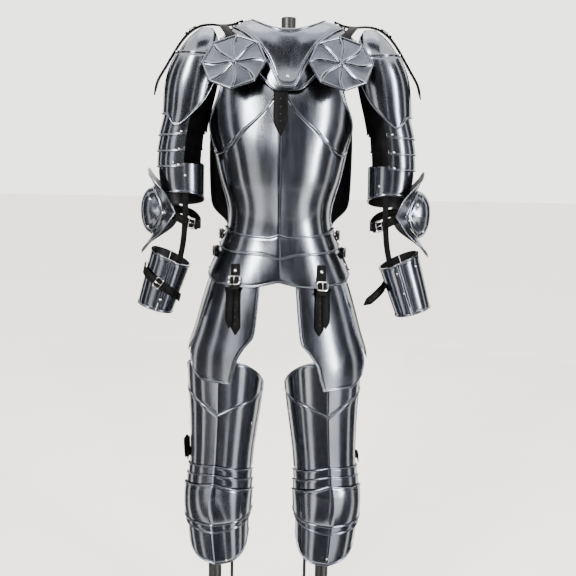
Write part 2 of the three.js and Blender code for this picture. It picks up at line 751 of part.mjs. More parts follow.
// Besagew: a fluted octagon that turns on the rivet at its middle.
const BESAGEW = { x: 103, y: -107, z: 1410, radius: 64, lean: 33, turn: 8, thick: PLATE, rib: 2.4, ribs: 8, twist: 10 };
function besagewShape() {
  const { radius, ribs, rib } = BESAGEW;
  const rings = [0.04, 0.35, 0.66, 0.9, 1];
  const perSector = 2;
  const count = ribs * perSector;
  const grid = rings.map((ring) =>
    Array.from({ length: count }, (_, j) => {
      const a = (2 * Math.PI * j) / count;
      const inSector = (((a + 1e-9) % (2 * Math.PI / ribs)) - Math.PI / ribs);
      const flat = (radius * Math.cos(Math.PI / ribs)) / Math.cos(inSector);
      const onRib = j % perSector === 0;
      const twist = BESAGEW.twist * DEG * Math.sin(Math.PI * ring);
      const high = ring > 0.95 || ring < 0.1 || onRib ? rib : 0.4;
      return new THREE.Vector3(flat * ring * Math.sin(a + twist), -high, flat * ring * Math.cos(a + twist));
    }),
  );
  const back = grid.map((row) => row.map((p) => new THREE.Vector3(p.x, BESAGEW.thick, p.z)));
  return wall(grid, back, true);
}

// Leg: a skin in the leg's own frame, whose origin is the middle of the knee.
const LEG = [
  { z: -140, x: -13, y: 0, wide: 58, front: 58, back: 56 },
  { z: -109, x: -9.5, y: 0, wide: 63, front: 62, back: 58 },
  { z: -75, x: -5.5, y: 0, wide: 66, front: 65, back: 60 },
  { z: -40, x: -2, y: 0, wide: 68, front: 67.5, back: 62 },
  { z: 0, x: 0, y: 0, wide: 68.5, front: 69, back: 63 },
  { z: 80, x: 0, y: 0, wide: 68.5, front: 71, back: 66 },
  { z: 110, x: 0, y: 0, wide: 69, front: 72, back: 67 },
  { z: 157, x: 0, y: 0, wide: 72, front: 75, back: 70 },
  { z: 205, x: 0, y: 0, wide: 76, front: 79, back: 74 },
  { z: 250, x: 1, y: 0, wide: 80, front: 84, back: 80 },
  { z: 330, x: 3, y: 0, wide: 86, front: 90, back: 87 },
];
const leg = tube(LEG, { fullness: 0.03, keel: () => 3, keelWidth: 9 });
const KNEE = { x: 121, y: -4, z: 470, lean: 3.6, toeOut: 6 };

const CUISSE_TOP = [
  { c: -1, z: 270 },
  { c: -0.87, z: 279 },
  { c: -0.51, z: 320 },
  { c: -0.32, z: 337 },
  { c: 0, z: 346 },
  { c: 0.4, z: 335 },
  { c: 0.87, z: 292 },
  { c: 1, z: 286 },
];
const CUISSE_LINE = [
  { c: 0, z: 219 },
  { c: 0.15, z: 231 },
  { c: 0.29, z: 241 },
  { c: 0.58, z: 253 },
  { c: 1, z: 261 },
];
function cuisse() {
  return panel({
    skin: leg,
    edges: () => [-104, 104],
    columns: 14,
    sideRim: 0.03,
    lines: [
      { z: () => 76, rows: 3 },
      { z: lineOf(CUISSE_LINE), rows: 2, bead: BEAD },
      { z: smooth(CUISSE_TOP, "c", "z"), rim: RIM, width: 3 },
    ],
  });
}

// Knee lines: the edge of each plate, with a cusp at the middle. `tilt` lowers its outer end.
const kneeLine = (middle, dip, side, tilt = 0) => {
  const line = lineOf([
    { c: 0, z: middle },
    { c: 0.25, z: dip },
    { c: 0.5, z: mix(dip, side, 0.3) },
    { c: 1, z: side },
  ]);
  return (c) => line(c) - tilt * c;
};
const KNEE_COLUMNS = 12;
const KNEE_LAMES = [
  { top: kneeLine(104, 98, 75), foot: kneeLine(68, 66, 46), out: 1.1 },
  { top: kneeLine(84, 78, 51), foot: kneeLine(46, 45, 22), out: 2 },
];
function kneeLame({ top, foot, out }) {
  return panel({
    skin: leg,
    edges: () => [-96, 96],
    out: out * LAP,
    columns: KNEE_COLUMNS,
    lines: [{ z: foot, rows: 1 }, { z: top, rim: RIM, width: 3 }],
  });
}
const COP_SWELL = 9;
const SHIN_TILT = 11; // mm that the lower knee plates drop from the middle to the outer side
function kneeCop() {
  return panel({
    skin: leg,
    edges: () => [-96, 96],
    out: 3 * LAP,
    columns: KNEE_COLUMNS,
    dome: (c, z) => COP_SWELL * (1 - c * c) ** 2 * Math.max(0, 1 - ((z - 12) / 48) ** 2),
    lines: [
      { z: kneeLine(-37, -36, -30, SHIN_TILT), rows: 4, rim: RIM, width: 3 },
      { z: kneeLine(64, 55, 28), rim: RIM, width: 3 },
    ],
  });
}
const JOINT_GAP = 0.3; // more air where the shin plates slide under the cop
function shinLame() {
  return panel({
    skin: leg,
    edges: () => [-90, 90],
    out: 2 * LAP - JOINT_GAP,
    columns: KNEE_COLUMNS,
    lines: [
      { z: kneeLine(-56, -54, -43, SHIN_TILT), rows: 2, rim: RIM, width: 3 },
      { z: kneeLine(-16, -16, -16, SHIN_TILT) },
    ],
  });
}
const GREAVE_FOOT = [
  { c: 0, z: -134 },
  { c: 0.35, z: -129 },
  { c: 0.65, z: -116 },
  { c: 0.85, z: -96 },
  { c: 1, z: -70 },
];
function greave() {
  return panel({
    skin: leg,
    edges: () => [-88, 88],
    out: LAP - JOINT_GAP,
    columns: KNEE_COLUMNS,
    lines: [{ z: lineOf(GREAVE_FOOT), rows: 3, rim: RIM, width: 3 }, { z: kneeLine(-36, -35, -28, SHIN_TILT) }],
  });
}

// Straps, as tables of points along their middle. Those of the leg are in the leg's frame.
const THIGH_STRAP = [
  { x: -65, y: -6, z: 92 },
  { x: -63, y: 12, z: 92 },
  { x: -54, y: 30, z: 92 },
  { x: -34, y: 37.8, z: 92 },
  { x: -4, y: 40.5, z: 92 },
  { x: 16, y: 39.3, z: 92 },
  { x: 42, y: 36, z: 92 },
  { x: 65, y: 29, z: 92 },
  { x: 75.6, y: 12, z: 92 },
  { x: 74.6, y: -10, z: 92 },
];
const THIGH_STRAP_END = [
  { x: 75.2, y: -4, z: 88 },
  { x: 77, y: -7, z: 104 },
  { x: 78.5, y: -9, z: 122 },
  { x: 79.5, y: -10, z: 140 },
];
const ELBOW_STRAP = [
  { x: 241.6, y: -44.6, z: 1110 },
  { x: 230.6, y: -51.2, z: 1108 },
  { x: 219, y: -53.6, z: 1103 },
  { x: 206, y: -46, z: 1095 },
  { x: 188, y: -30, z: 1087 },
  { x: 180, y: -4, z: 1085 },
  { x: 186, y: 20, z: 1092 },
  { x: 202, y: 35.5, z: 1103 },
  { x: 222, y: 38.2, z: 1110 },
  { x: 240, y: 32.4, z: 1112 },
];
const ELBOW_LINK = [
  { x: 206, y: -42.6, z: 1166 },
  { x: 206, y: -43.6, z: 1130 },
  { x: 207, y: -45.8, z: 1092 },
  { x: 211.5, y: -42, z: 1050 },
  { x: 218, y: -37.2, z: 1020 },
  { x: 222.1, y: -36.8, z: 1003 },
  { x: 227.7, y: -36.8, z: 984 },
];
const SHOULDER_STRAP = [
  { x: 92, y: 4, z: 1499 },
  { x: 114, y: 4, z: 1491 },
  { x: 136, y: 3, z: 1489 },
  { x: 158, y: 2, z: 1490 },
  { x: 180, y: 0, z: 1486 },
  { x: 200, y: -1, z: 1474 },
];
const SHOULDER_STRAP_END = [
  { z: 1446, lift: 0.6 },
  { z: 1420, lift: 1.1 },
  { z: 1398, lift: 4 },
  { z: 1372, lift: 12 },
  { z: 1346, lift: 16 },
];
const BESAGEW_TAB = [
  { x: 136, y: 4, z: 1489 },
  { x: 131, y: -22, z: 1486 },
  { x: 121, y: -48, z: 1474 },
  { x: 110, y: -68, z: 1457 },
];
// The forearm's straps, in its own frame: the right one is buckled, and the left one hangs open.
const FOREARM_STRAP = {
  right: [
    { angle: 96, z: -38 },
    { angle: 70, z: -42 },
    { angle: 40, z: -47 },
    { angle: 10, z: -54 },
    { angle: -10, z: -59 },
    { angle: -35, z: -66 },
    { angle: -60, z: -73 },
    { angle: -84, z: -80 },
  ],
  left: [
    { x: -27, y: 38, z: -46 },
    { x: -41, y: 20, z: -48 },
    { x: -50, y: 4, z: -52 },
    { x: -72, y: -6, z: -62 },
    { x: -98, y: -10, z: -72 },
  ],
};

function joined(...geometries) {
  const solids = geometries.map(toSolid);
  return toGeometry(solids.reduce((a, b) => a.add(b)));
}
function thighStrap(name) {
  const band = strap(THIGH_STRAP, { side: [0, 0, 1], wide: 20, steps: 16 });
  if (name === "left") return band;
  return joined(band, strap(THIGH_STRAP_END, { side: [0.62, -0.78, 0], wide: 17, steps: 4, tip: 7 }));
}
function elbowStrap() {
  const band = strap(ELBOW_STRAP, { side: [0, 0.1, 1], wide: 17, steps: 14 });
  return joined(band, strap(ELBOW_LINK, { side: [1, 0, 0], wide: 8, steps: 8 }));
}
function pauldronStrap() {
  const end = SHOULDER_STRAP_END.map(({ z, lift }) => {
    const p = arm(86, z).addScaledVector(outward(arm, 86, z), 4 * LAP + RIM + ON_PLATE + lift);
    return { x: p.x, y: p.y, z: p.z };
  });
  const over = strap([...SHOULDER_STRAP, ...end], { side: [0, 1, 0], wide: 20, steps: 16, tip: 16 });
  const [c, s] = [Math.cos(BESAGEW.lean * DEG), Math.sin(BESAGEW.lean * DEG)];
  const behind = BESAGEW.thick + ON_PLATE + 1.4;
  const hanging = [34, -4].map((up) => {
    return { x: BESAGEW.x, y: BESAGEW.y + behind * c + up * s, z: BESAGEW.z - behind * s + up * c };
  });
  return joined(over, strap([...BESAGEW_TAB, ...hanging], { side: [1, 0, 0], wide: 17, steps: 9 }));
}
function forearmStrap(name) {
  if (name === "left") return strap(FOREARM_STRAP.left, { side: [0, 0, 1], wide: 17, steps: 9, tip: 14 });
  const stops = FOREARM_STRAP.right.map((row) => ({ ...row, lift: RIM + ON_PLATE + 1.5 }));
  return lyingStrap(forearm, stops, { side: [0.12, 0.12, 1], wide: 17, steps: 14 });
}

// Stand: a base plate, a post up each leg, a strut from each post to the spine, and a bar at the shoulders.
const STAND = {
  base: { wide: 440, deep: 320, high: 10 },
  post: { x: 124, y: 20, radius: 15, top: 912 },
  brace: { x: 84, y: 12, wide: 7, deep: 4, top: 412 },
  strut: { low: 896, high: 1018, radius: 13 },
  spine: { x: 12, y: 6, radius: 15, top: 1507 },
  shoulders: { reach: 106, deep: 16, high: 10, top: 1484.6 },
  shift: -15,
};
function box(x, y, z, wide, deep, high) {
  return new THREE.BoxGeometry(wide, deep, high).translate(x, y, z + high / 2);
}
function rod(radius, from, to) {
  const [a, b] = [new THREE.Vector3(...from), new THREE.Vector3(...to)];
  const along = b.clone().sub(a);
  const turn = new THREE.Quaternion().setFromUnitVectors(new THREE.Vector3(0, 1, 0), along.clone().normalize());
  const middle = a.clone().add(b).multiplyScalar(0.5);
  return new THREE.CylinderGeometry(radius, radius, along.length(), 14)
    .applyQuaternion(turn)
    .translate(middle.x, middle.y, middle.z);
}
function stand() {
  const { base, post, brace, strut, spine, shoulders, shift } = STAND;
  const pieces = [box(shift, post.y, 0, base.wide, base.deep, base.high)];
  for (const side of [-1, 1]) {
    const x = shift + side * post.x;
    pieces.push(rod(post.radius, [x, post.y, base.high - 1], [x, post.y, post.top]));
    pieces.push(box(shift + side * brace.x, brace.y, base.high - 1, brace.wide, brace.deep, brace.top));
    pieces.push(box(shift + side * (post.x + brace.x) / 2, brace.y, brace.top, post.x - brace.x + 6, brace.deep, 10));
    pieces.push(rod(strut.radius, [x, post.y, strut.low], [spine.x, spine.y, strut.high]));
  }
  pieces.push(rod(spine.radius, [spine.x, spine.y, strut.high - 24], [spine.x, spine.y, spine.top]));
  const low = shoulders.top - shoulders.high;
  pieces.push(box(spine.x, spine.y, low, 2 * shoulders.reach, shoulders.deep, shoulders.high));
  return joined(...pieces);
}

// The suit is put together here. The shoulders sit a little to the left of the middle, and the legs to
// the right of it, as they hang.
const SHOULDERS_SHIFT = 12;
const LEGS_SHIFT = -7;
const SIDES = [
  { name: "left", mirror: 1, tassetDrop: -12, couterTurn: 0 },
  { name: "right", mirror: -1, tassetDrop: 0, couterTurn: 0 },
];
function branch(parent, x = 0, mirror = 1) {
  const group = new THREE.Group();
  group.position.x = x;
  group.scale.x = mirror;
  parent.add(group);
  return group;
}

add(suit, "stand", "stand", stand());
add(suit, "breastplate", "steel", breastplate());
add(suit, "backplate", "steel", backplate());
add(suit, "waist_lame", "steel", waistLame());
add(suit, "fauld_lame", "steel", fauldLame());
add(suit, "culet_lame", "steel", culet());
add(suit, "bib_strap", "leather", bibStrap());
const shoulders = branch(suit, SHOULDERS_SHIFT);
add(shoulders, "gorget_front", "steel", gorget(-90 + YOKE_GAP, 90 - YOKE_GAP, 18));
add(shoulders, "gorget_back", "steel", gorget(90 + YOKE_GAP, 270 - YOKE_GAP, 12));

for (const { name, mirror, tassetDrop, couterTurn } of SIDES) {
  const hips = branch(suit, 0, mirror);
  add(hips, "side_strap_" + name, "leather", sideStrap());
  add(hips, "side_tasset_" + name, "steel", sideTasset()).position.z = tassetDrop;
  add(hips, "tasset_strap_" + name, "leather", tassetStrap(-0.08 * tassetDrop));
  add(hips, "tasset_" + name, "steel", tasset()).position.z = tassetDrop;

  const shoulder = branch(suit, SHOULDERS_SHIFT, mirror);
  add(shoulder, "pauldron_" + name, "steel", pauldron());
  add(shoulder, "pauldron_cap_" + name, "steel", pauldronCap());
  add(shoulder, "pauldron_strap_" + name, "leather", pauldronStrap());
  ARM_LAMES.forEach((row, i) => add(shoulder, "arm_lame_" + (i + 1) + "_" + name, "steel", armLame(row)));
  add(shoulder, "rerebrace_" + name, "steel", rerebrace());
  add(shoulder, "elbow_strap_" + name, "leather", elbowStrap());
  const disc = add(shoulder, "besagew_" + name, "steel", besagewShape());
  disc.position.set(BESAGEW.x, BESAGEW.y, BESAGEW.z);
  disc.rotation.set(-BESAGEW.lean * DEG, 0, BESAGEW.turn * DEG, "ZXY");

  const elbow = new THREE.Group();
  elbow.position.set(ELBOW.x, ELBOW.y, ELBOW.z);
  elbow.rotation.x = couterTurn * DEG;
  shoulder.add(elbow);
  const couter = branch(elbow);
  couter.position.set(-ELBOW.x, -ELBOW.y, -ELBOW.z);
  add(couter, "couter_wing_" + name, "steel", couterWing());
  add(couter, "couter_cup_" + name, "steel", couterCup());

  const lower = new THREE.Group();
  lower.position.set(VAMBRACE.x, VAMBRACE.y, VAMBRACE.z);
  lower.rotation.y = -VAMBRACE.lean * DEG;
  shoulder.add(lower);
  const { from, to, gap } = VAMBRACE;
  add(lower, "vambrace_outer_" + name, "steel", vambrace(from + gap, to - gap));
  add(lower, "vambrace_inner_" + name, "steel", vambrace(to + gap, from + 360 - gap));
  add(lower, "vambrace_strap_" + name, "leather", forearmStrap(name));

  const limb = new THREE.Group();
  limb.position.set(KNEE.x, KNEE.y, KNEE.z);
  limb.rotation.set(0, -KNEE.lean * DEG, KNEE.toeOut * DEG);
  branch(suit, LEGS_SHIFT, mirror).add(limb);
  add(limb, "cuisse_" + name, "steel", cuisse());
  add(limb, "thigh_strap_" + name, "leather", thighStrap(name));
  KNEE_LAMES.forEach((row, i) => add(limb, "knee_lame_" + (i + 1) + "_" + name, "steel", kneeLame(row)));
  add(limb, "knee_cop_" + name, "steel", kneeCop());
  add(limb, "shin_lame_" + name, "steel", shinLame());
  add(limb, "greave_" + name, "steel", greave());
}

export default suit;
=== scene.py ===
"""A suit of plate armour on a steel stand, with fine plates, rivets, buckles and straps over its solids."""
import json
import math

import bpy
import numpy as np
from mathutils import Matrix


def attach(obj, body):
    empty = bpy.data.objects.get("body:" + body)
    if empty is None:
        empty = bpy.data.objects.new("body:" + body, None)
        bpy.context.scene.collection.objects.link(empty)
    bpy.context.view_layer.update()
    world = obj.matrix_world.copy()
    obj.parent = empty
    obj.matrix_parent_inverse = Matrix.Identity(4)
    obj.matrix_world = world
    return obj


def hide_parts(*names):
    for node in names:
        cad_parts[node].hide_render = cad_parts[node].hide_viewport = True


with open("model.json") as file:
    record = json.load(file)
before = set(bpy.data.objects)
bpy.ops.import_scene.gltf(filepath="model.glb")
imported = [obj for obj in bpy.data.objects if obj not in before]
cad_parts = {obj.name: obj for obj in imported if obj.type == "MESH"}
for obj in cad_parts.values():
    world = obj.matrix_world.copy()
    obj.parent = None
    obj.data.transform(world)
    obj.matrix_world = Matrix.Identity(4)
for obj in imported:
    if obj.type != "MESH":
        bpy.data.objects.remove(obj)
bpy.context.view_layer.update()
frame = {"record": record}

# Sizes in millimetres, as in the solids.
PLATE, GAP, LEATHER, SEAT = 1.6, 0.8, 2.6, 0.4
LAP = PLATE + GAP
RIM, RIM_WIDTH, BEAD = 1.8, 4.0, 2.2
ON_PLATE = SEAT + LEATHER / 2
CHAMFER = 0.45
STEP = 3.9  # spacing of the points on a plate
SHARP_ANGLE = 36  # faces that meet at more degrees than this have a crisp edge
# The slots for the inner faces and for the hole plugs carry painted shade: their near-black colours stand for
# the shade in hollows and holes.
STEEL, INSIDE_SHADE, LEATHER_SLOT, NICKEL, HOLE_SHADE, PAINT = range(6)

# The photograph's camera: place in mm, angles in degrees, focal length and picture size in pixels.
CAMERA = {"x": 20.0, "y": -1700.0, "z": 1280.0, "tilt": 11.0, "focal": 804.6, "roll": 1.0, "frame": 576}


def curve(x, y, soften=0.3):
    """A monotone cubic through points, blurred a little so that reflections run on without kinks."""
    x, y = np.array(x, float), np.array(y, float)
    rise = np.diff(y) / np.diff(x)
    slope = np.concatenate([rise[:1], np.zeros(len(x) - 2), rise[-1:]])
    a, b = rise[:-1], rise[1:]
    same = a * b > 0
    slope[1:-1][same] = 2 * a[same] * b[same] / (a[same] + b[same])
    fine = np.linspace(x[0], x[-1], 1201)
    i = np.clip(np.searchsorted(x, fine, side="right") - 1, 0, len(x) - 2)
    h = x[i + 1] - x[i]
    s = (fine - x[i]) / h
    v = (2 * s**3 - 3 * s**2 + 1) * y[i] + (s**3 - 2 * s**2 + s) * h * slope[i]
    v += (3 * s**2 - 2 * s**3) * y[i + 1] + (s**3 - s**2) * h * slope[i + 1]
    if soften:
        sigma = soften * np.median(np.diff(x)) / (fine[1] - fine[0])
        n = int(min(3 * sigma, 590))
        kernel = np.exp(-0.5 * (np.arange(-n, n + 1) / sigma) ** 2)
        padded = np.concatenate([2 * v[0] - v[n:0:-1], v, 2 * v[-1] - v[-2 : -n - 2 : -1]])
        v = np.convolve(padded, kernel / kernel.sum(), mode="valid")
    return lambda t: np.interp(t, fine, v)


def even(table, soften=0.0):
    """A curve of c, -1 to 1 across a plate, that is the same on both sides. Rows are (c, z)."""
    line = curve(*np.array(table, float).T, soften)
    return lambda c: line(np.abs(c))


def flat(z):
    return lambda c: z + 0.0 * np.asarray(c, float)


def each_side(angle):
    """Upright edges of a plate at the same angle to each side of the front."""
    return lambda z: (-angle, angle)


def mix(a, b, t):
    return a + (b - a) * t


def unit(v):
    return v / np.maximum(np.linalg.norm(v, axis=-1, keepdims=True), 1e-9)


def tube(rows, fullness=0.05, keel=None, keel_width=12):
    """A skin with rounded-square sections. Rows are (z, x, y, wide, front, back)."""
    z0, *columns = np.array(rows, float).T
    cx, cy, wide, front, back = (curve(z0, k) for k in columns)

    def skin(angle, z):
        angle, z = np.broadcast_arrays(np.asarray(angle, float), np.asarray(z, float))
        a = np.radians(angle)
        full = 1 + fullness * np.sin(2 * a) ** 2
        deep = np.where(np.cos(a) > 0, front(z), back(z))
        ridge = 0.0
        if keel is not None:
            ridge = keel(z) * np.exp(-(np.sqrt(angle**2 + 0.6) - 0.77) / keel_width)
        return np.stack([cx(z) + wide(z) * np.sin(a) * full, cy(z) - deep * np.cos(a) * full - ridge, z], -1)

    skin.dz = 0.5
    return skin


def outward(skin, angle, z):
    across = skin(angle + 0.3, z) - skin(angle - 0.3, z)
    up = skin(angle, z + skin.dz) - skin(angle, z - skin.dz)
    return unit(np.cross(across, up))


def angle_at(skin, x, z, low=0.0, high=90.0):
    """The angle at which a skin reaches a distance x from the middle plane."""
    x, z = np.broadcast_arrays(np.asarray(x, float), np.asarray(z, float))
    low, high = np.full(x.shape, low), np.full(x.shape, high)
    for _ in range(26):
        middle = (low + high) / 2
        less = skin(middle, z)[..., 0] < x
        low, high = np.where(less, middle, low), np.where(less, high, middle)
    return low


def arch(share):
    """The height of a half round at a share of its width."""
    return math.sqrt(max(0.0, 1 - (2 * share - 1) ** 2))


# Profiles of a rolled edge and of a raised line: share of the width, and share of the height. A sunk line
# runs beside each. That of the rolled edge is in mm.
ROLL = [(f, arch(f)) for f in (0, 0.03, 0.1, 0.2, 0.34, 0.5, 0.66, 0.8, 0.9, 0.97, 1)]
GROOVE = [(1.08, -0.3), (1.3, -0.42), (1.55, -0.25), (1.85, 0.0)]
SUNK = [(0.58, -0.16), (0.75, -0.2), (1.0, 0.0)]
RIDGE = [(-f, low) for f, low in SUNK[::-1]]
RIDGE += [(f - 0.5, arch(f)) for f in (0, 0.04, 0.12, 0.24, 0.37, 0.5, 0.63, 0.76, 0.88, 0.96, 1)]
RIDGE += SUNK


def edge_profile(rim, width):
    """Offsets in from an edge and the lift there, for a rolled edge or for a plain one."""
    if rim:
        return [(f * width, rim * h) for f, h in ROLL] + [(f * width, drop) for f, drop in GROOVE]
    return [(0.0, -CHAMFER), (CHAMFER * width / RIM_WIDTH, 0.0)]


def plate_rows(lines, step):
    """Rows from the lowest line up, each as a function of c and its lift."""
    rows = []
    last = len(lines) - 1
    marks = []
    for i, line in enumerate(lines):
        width = line.get("width", RIM_WIDTH)
        if i in (0, last):
            side = 1 if i == 0 else -1
            marks.append([(side * o, h) for o, h in edge_profile(line.get("rim", 0), width)][:: side])
        elif line.get("bead"):
            marks.append([(f * width, line["bead"] * h) for f, h in RIDGE])
        else:
            marks.append([(0.0, 0.0)])
    grid = np.linspace(-1, 1, 21)
    for i, line in enumerate(lines):
        for offset, lift in marks[i]:
            rows.append((lambda c, f=line["z"], o=offset: f(c) + o, lift))
        if i == last:
            break
        low, high = marks[i][-1][0], marks[i + 1][0][0]
        span = np.abs(lines[i + 1]["z"](grid) + high - line["z"](grid) - low).max()
        count = max(1, int(math.ceil(span / step)))
        for k in range(1, count):
            share = k / count
            f, g = line["z"], lines[i + 1]["z"]
            rows.append((lambda c, f=f, g=g, s=share, a=low, b=high: mix(f(c) + a, g(c) + b, s), 0.0))
    return rows


def plate(skin, edges, lines, out=0.0, thick=PLATE, side_rim=0.0, dome=None, step=STEP, unit_mm=1.0):
    """Outer and inner grids of a plate cut from a skin."""
    rows = plate_rows(lines, step / unit_mm)
    sides = edge_profile(RIM if side_rim else 0, side_rim or RIM_WIDTH)
    offsets, lifts = np.array(sides).T
    lengths = []
    for f, _ in rows:
        z0 = float(np.asarray(f(0.0)))
        left, right = edges(z0)
        run = skin(np.linspace(left, right, 33), np.full(33, z0))
        lengths.append(np.linalg.norm(np.diff(run, axis=0), axis=1).sum())
    middle = max(2, int(math.ceil((max(lengths) - 2 * offsets[-1]) / step)))
    side_lift = np.concatenate([lifts, np.zeros(middle - 1), lifts[::-1]])
    outer, inner = [], []
    for (f, lift), length in zip(rows, lengths):
        inset = offsets * min(1.0, 0.3 * length / offsets[-1])
        run = np.linspace(inset[-1], length - inset[-1], middle + 1)[1:-1]
        c = 2 * np.concatenate([inset, run, (length - inset)[::-1]]) / length - 1
        z = f(c)
        left, right = edges(z)
        angle = mix(left, right, (c + 1) / 2)
        point, normal = skin(angle, z), outward(skin, angle, z)
        raised = np.maximum(side_lift, lift)
        raised = np.where(raised > 0, raised, np.minimum(side_lift, lift))
        level = out + (dome(c, z) if dome else 0.0) + 0 * c
        outer.append(point + normal * (level + raised)[:, None])
        inner.append(point + normal * (level - thick)[:, None])
    return np.array(outer), np.array(inner)


def cannon(skin, lines, step=STEP):
    """Grids of a tube panel that closes on itself. Its lines are functions of the angle."""
    rows = plate_rows(lines, step)
    angle = np.linspace(-180, 180, 96, endpoint=False)
    outer, inner = [], []
    for f, lift in rows:
        z = f(angle)
        point, normal = skin(angle, z), outward(skin, angle, z)
        outer.append(point + normal * lift)
        inner.append(point - normal * PLATE)
    return np.array(outer), np.array(inner)


class Piece:
    """Points and faces of one node, gathered from closed parts and put in place together."""

    def __init__(self, place=None):
        self.place = place or (lambda p: p)
        self.points, self.faces, self.slots, self.count = [], [], [], 0

    def add(self, points, faces, slots):
        points = self.place(np.asarray(points, float))
        slots = np.broadcast_to(np.asarray(slots), (len(faces),))
        middle = points.mean(0)
        volume = 0.0
        for f in faces:
            p = points[list(f)] - middle
            for k in range(1, len(f) - 1):
                volume += np.dot(p[0], np.cross(p[k], p[k + 1]))
        flip = volume < 0
        for f, s in zip(faces, slots):
            face = [self.count + int(v) for v in f]
            self.faces.append(face[::-1] if flip else face)
            self.slots.append(int(s))
        self.points.append(points)
        self.count += len(points)

    def shell(self, grids, slot=STEEL, inside=INSIDE_SHADE, loop=False):
        """A closed wall between an outer and an inner grid."""
        outer, inner = grids
        rows, cols = outer.shape[:2]
        n = rows * cols
        points = self.place(np.concatenate([outer.reshape(-1, 3), inner.reshape(-1, 3)]))
        number = np.arange(n).reshape(rows, cols)
        nxt = np.roll(number, -1, axis=1) if loop else number[:, 1:]
        cur = number if loop else number[:, :-1]
        q = np.stack([cur[:-1], nxt[:-1], nxt[1:], cur[1:]], -1).reshape(-1, 4)
        back = np.stack([cur[:-1], cur[1:], nxt[1:], nxt[:-1]], -1).reshape(-1, 4) + n
        low = np.stack([nxt[0], cur[0], cur[0] + n, nxt[0] + n], -1)
        high = np.stack([cur[-1], nxt[-1], nxt[-1] + n, cur[-1] + n], -1)
        parts = [q, back, low, high]
        slots = [np.full(len(q), slot), np.full(len(back), inside), np.full(len(low) + len(high), slot)]
        if not loop:
            left = np.stack([number[:-1, 0], number[1:, 0], number[1:, 0] + n, number[:-1, 0] + n], -1)
            right = np.stack([number[1:, -1], number[:-1, -1], number[:-1, -1] + n, number[1:, -1] + n], -1)
            parts += [left, right]
            slots.append(np.full(len(left) + len(right), slot))
        faces = np.concatenate(parts)
        p = points - points.mean(0)
        a, b, c, d = (p[faces[:, k]] for k in range(4))
        volume = (a * np.cross(b, c)).sum() + (a * np.cross(c, d)).sum()
        if volume < 0:
            faces = faces[:, ::-1]
        self.faces += (faces + self.count).tolist()
        self.slots += np.concatenate(slots).tolist()
        self.points.append(points)
        self.count += len(points)

    def ring_tube(self, sections, slot, closed=False):
        """A tube from rings of points, with flat ends unless it closes on itself."""
        sections = np.asarray(sections, float)
        rows, cols = sections.shape[:2]
        faces = []
        for i in range(rows if closed else rows - 1):
            k = (i + 1) % rows
            for j in range(cols):
                m = (j + 1) % cols
                faces.append((i * cols + j, i * cols + m, k * cols + m, k * cols + j))
        if not closed:
            faces.append(tuple(range(cols - 1, -1, -1)))
            faces.append(tuple(range((rows - 1) * cols, rows * cols)))
        self.add(sections.reshape(-1, 3), faces, slot)

    def wire(self, points, radius, slot, closed=False, sides=8):
        """A round wire along points."""
        p = np.asarray(points, float)
        along = unit(np.roll(p, -1, 0) - np.roll(p, 1, 0)) if closed else unit(np.gradient(p, axis=0))
        ref = np.array([0.0, 0.0, 1.0])
        if np.abs(along @ ref).max() > 0.93:
            ref = unit(np.array([0.31, 0.9, 0.29]))
        side = unit(np.cross(along, ref))
        other = np.cross(along, side)
        turn = np.linspace(0, 2 * math.pi, sides, endpoint=False)
        radius = np.broadcast_to(np.asarray(radius, float), (len(p),))
        ring = side[:, None] * np.cos(turn)[None, :, None] + other[:, None] * np.sin(turn)[None, :, None]
        self.ring_tube(p[:, None] + ring * radius[:, None, None], slot, closed)

    def lathe(self, base, axis, profile, slot, sides=20):
        """A turned part. The profile is rows of (radius, height) along the axis."""
        axis = unit(np.asarray(axis, float))
        ref = np.array([1.0, 0, 0]) if abs(axis[0]) < 0.8 else np.array([0, 1.0, 0])
        side = unit(np.cross(axis, ref))
        other = np.cross(axis, side)
        turn = np.linspace(0, 2 * math.pi, sides, endpoint=False)
        ring = np.cos(turn)[:, None] * side + np.sin(turn)[:, None] * other
        rows = [np.asarray(base) + axis * h + ring * r for r, h in profile]
        self.ring_tube(rows, slot)

    def rivet(self, point, normal, radius=3.2, high=1.7, slot=NICKEL):
        dome = [(radius * math.cos(a), high * math.sin(a)) for a in np.radians([0, 22, 45, 66, 84])]
        self.lathe(point, normal, [(radius, -0.7)] + dome, slot)

    def make(self, name, *nodes, body=None, slot=None):
        """Builds the finished mesh, which stands for the nodes and rides on their body."""
        points = np.concatenate(self.points) * 0.001
        mesh = bpy.data.meshes.new(name)
        mesh.from_pydata(points.tolist(), [], self.faces)
        mesh.polygons.foreach_set("material_index", np.array(self.slots, dtype=np.int32))
        mesh.polygons.foreach_set("use_smooth", np.ones(len(self.faces), dtype=bool))
        mesh.update()
        mesh.set_sharp_from_angle(angle=math.radians(SHARP_ANGLE))
        for material in MATERIALS:
            mesh.materials.append(material)
        piece = bpy.data.objects.new(name, mesh)
        bpy.context.scene.collection.objects.link(piece)
        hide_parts(*nodes)
        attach(piece, body or BODY_OF[nodes[0]])
        slot or SLOT_OF[nodes[0]]


RECORD = frame["record"]
BODY_OF = {node: body for body, nodes in RECORD["behaviour"]["bodies"].items() for node in nodes}
SLOT_OF = {row["node"]: row["material_slot"] for row in RECORD["subparts"]}


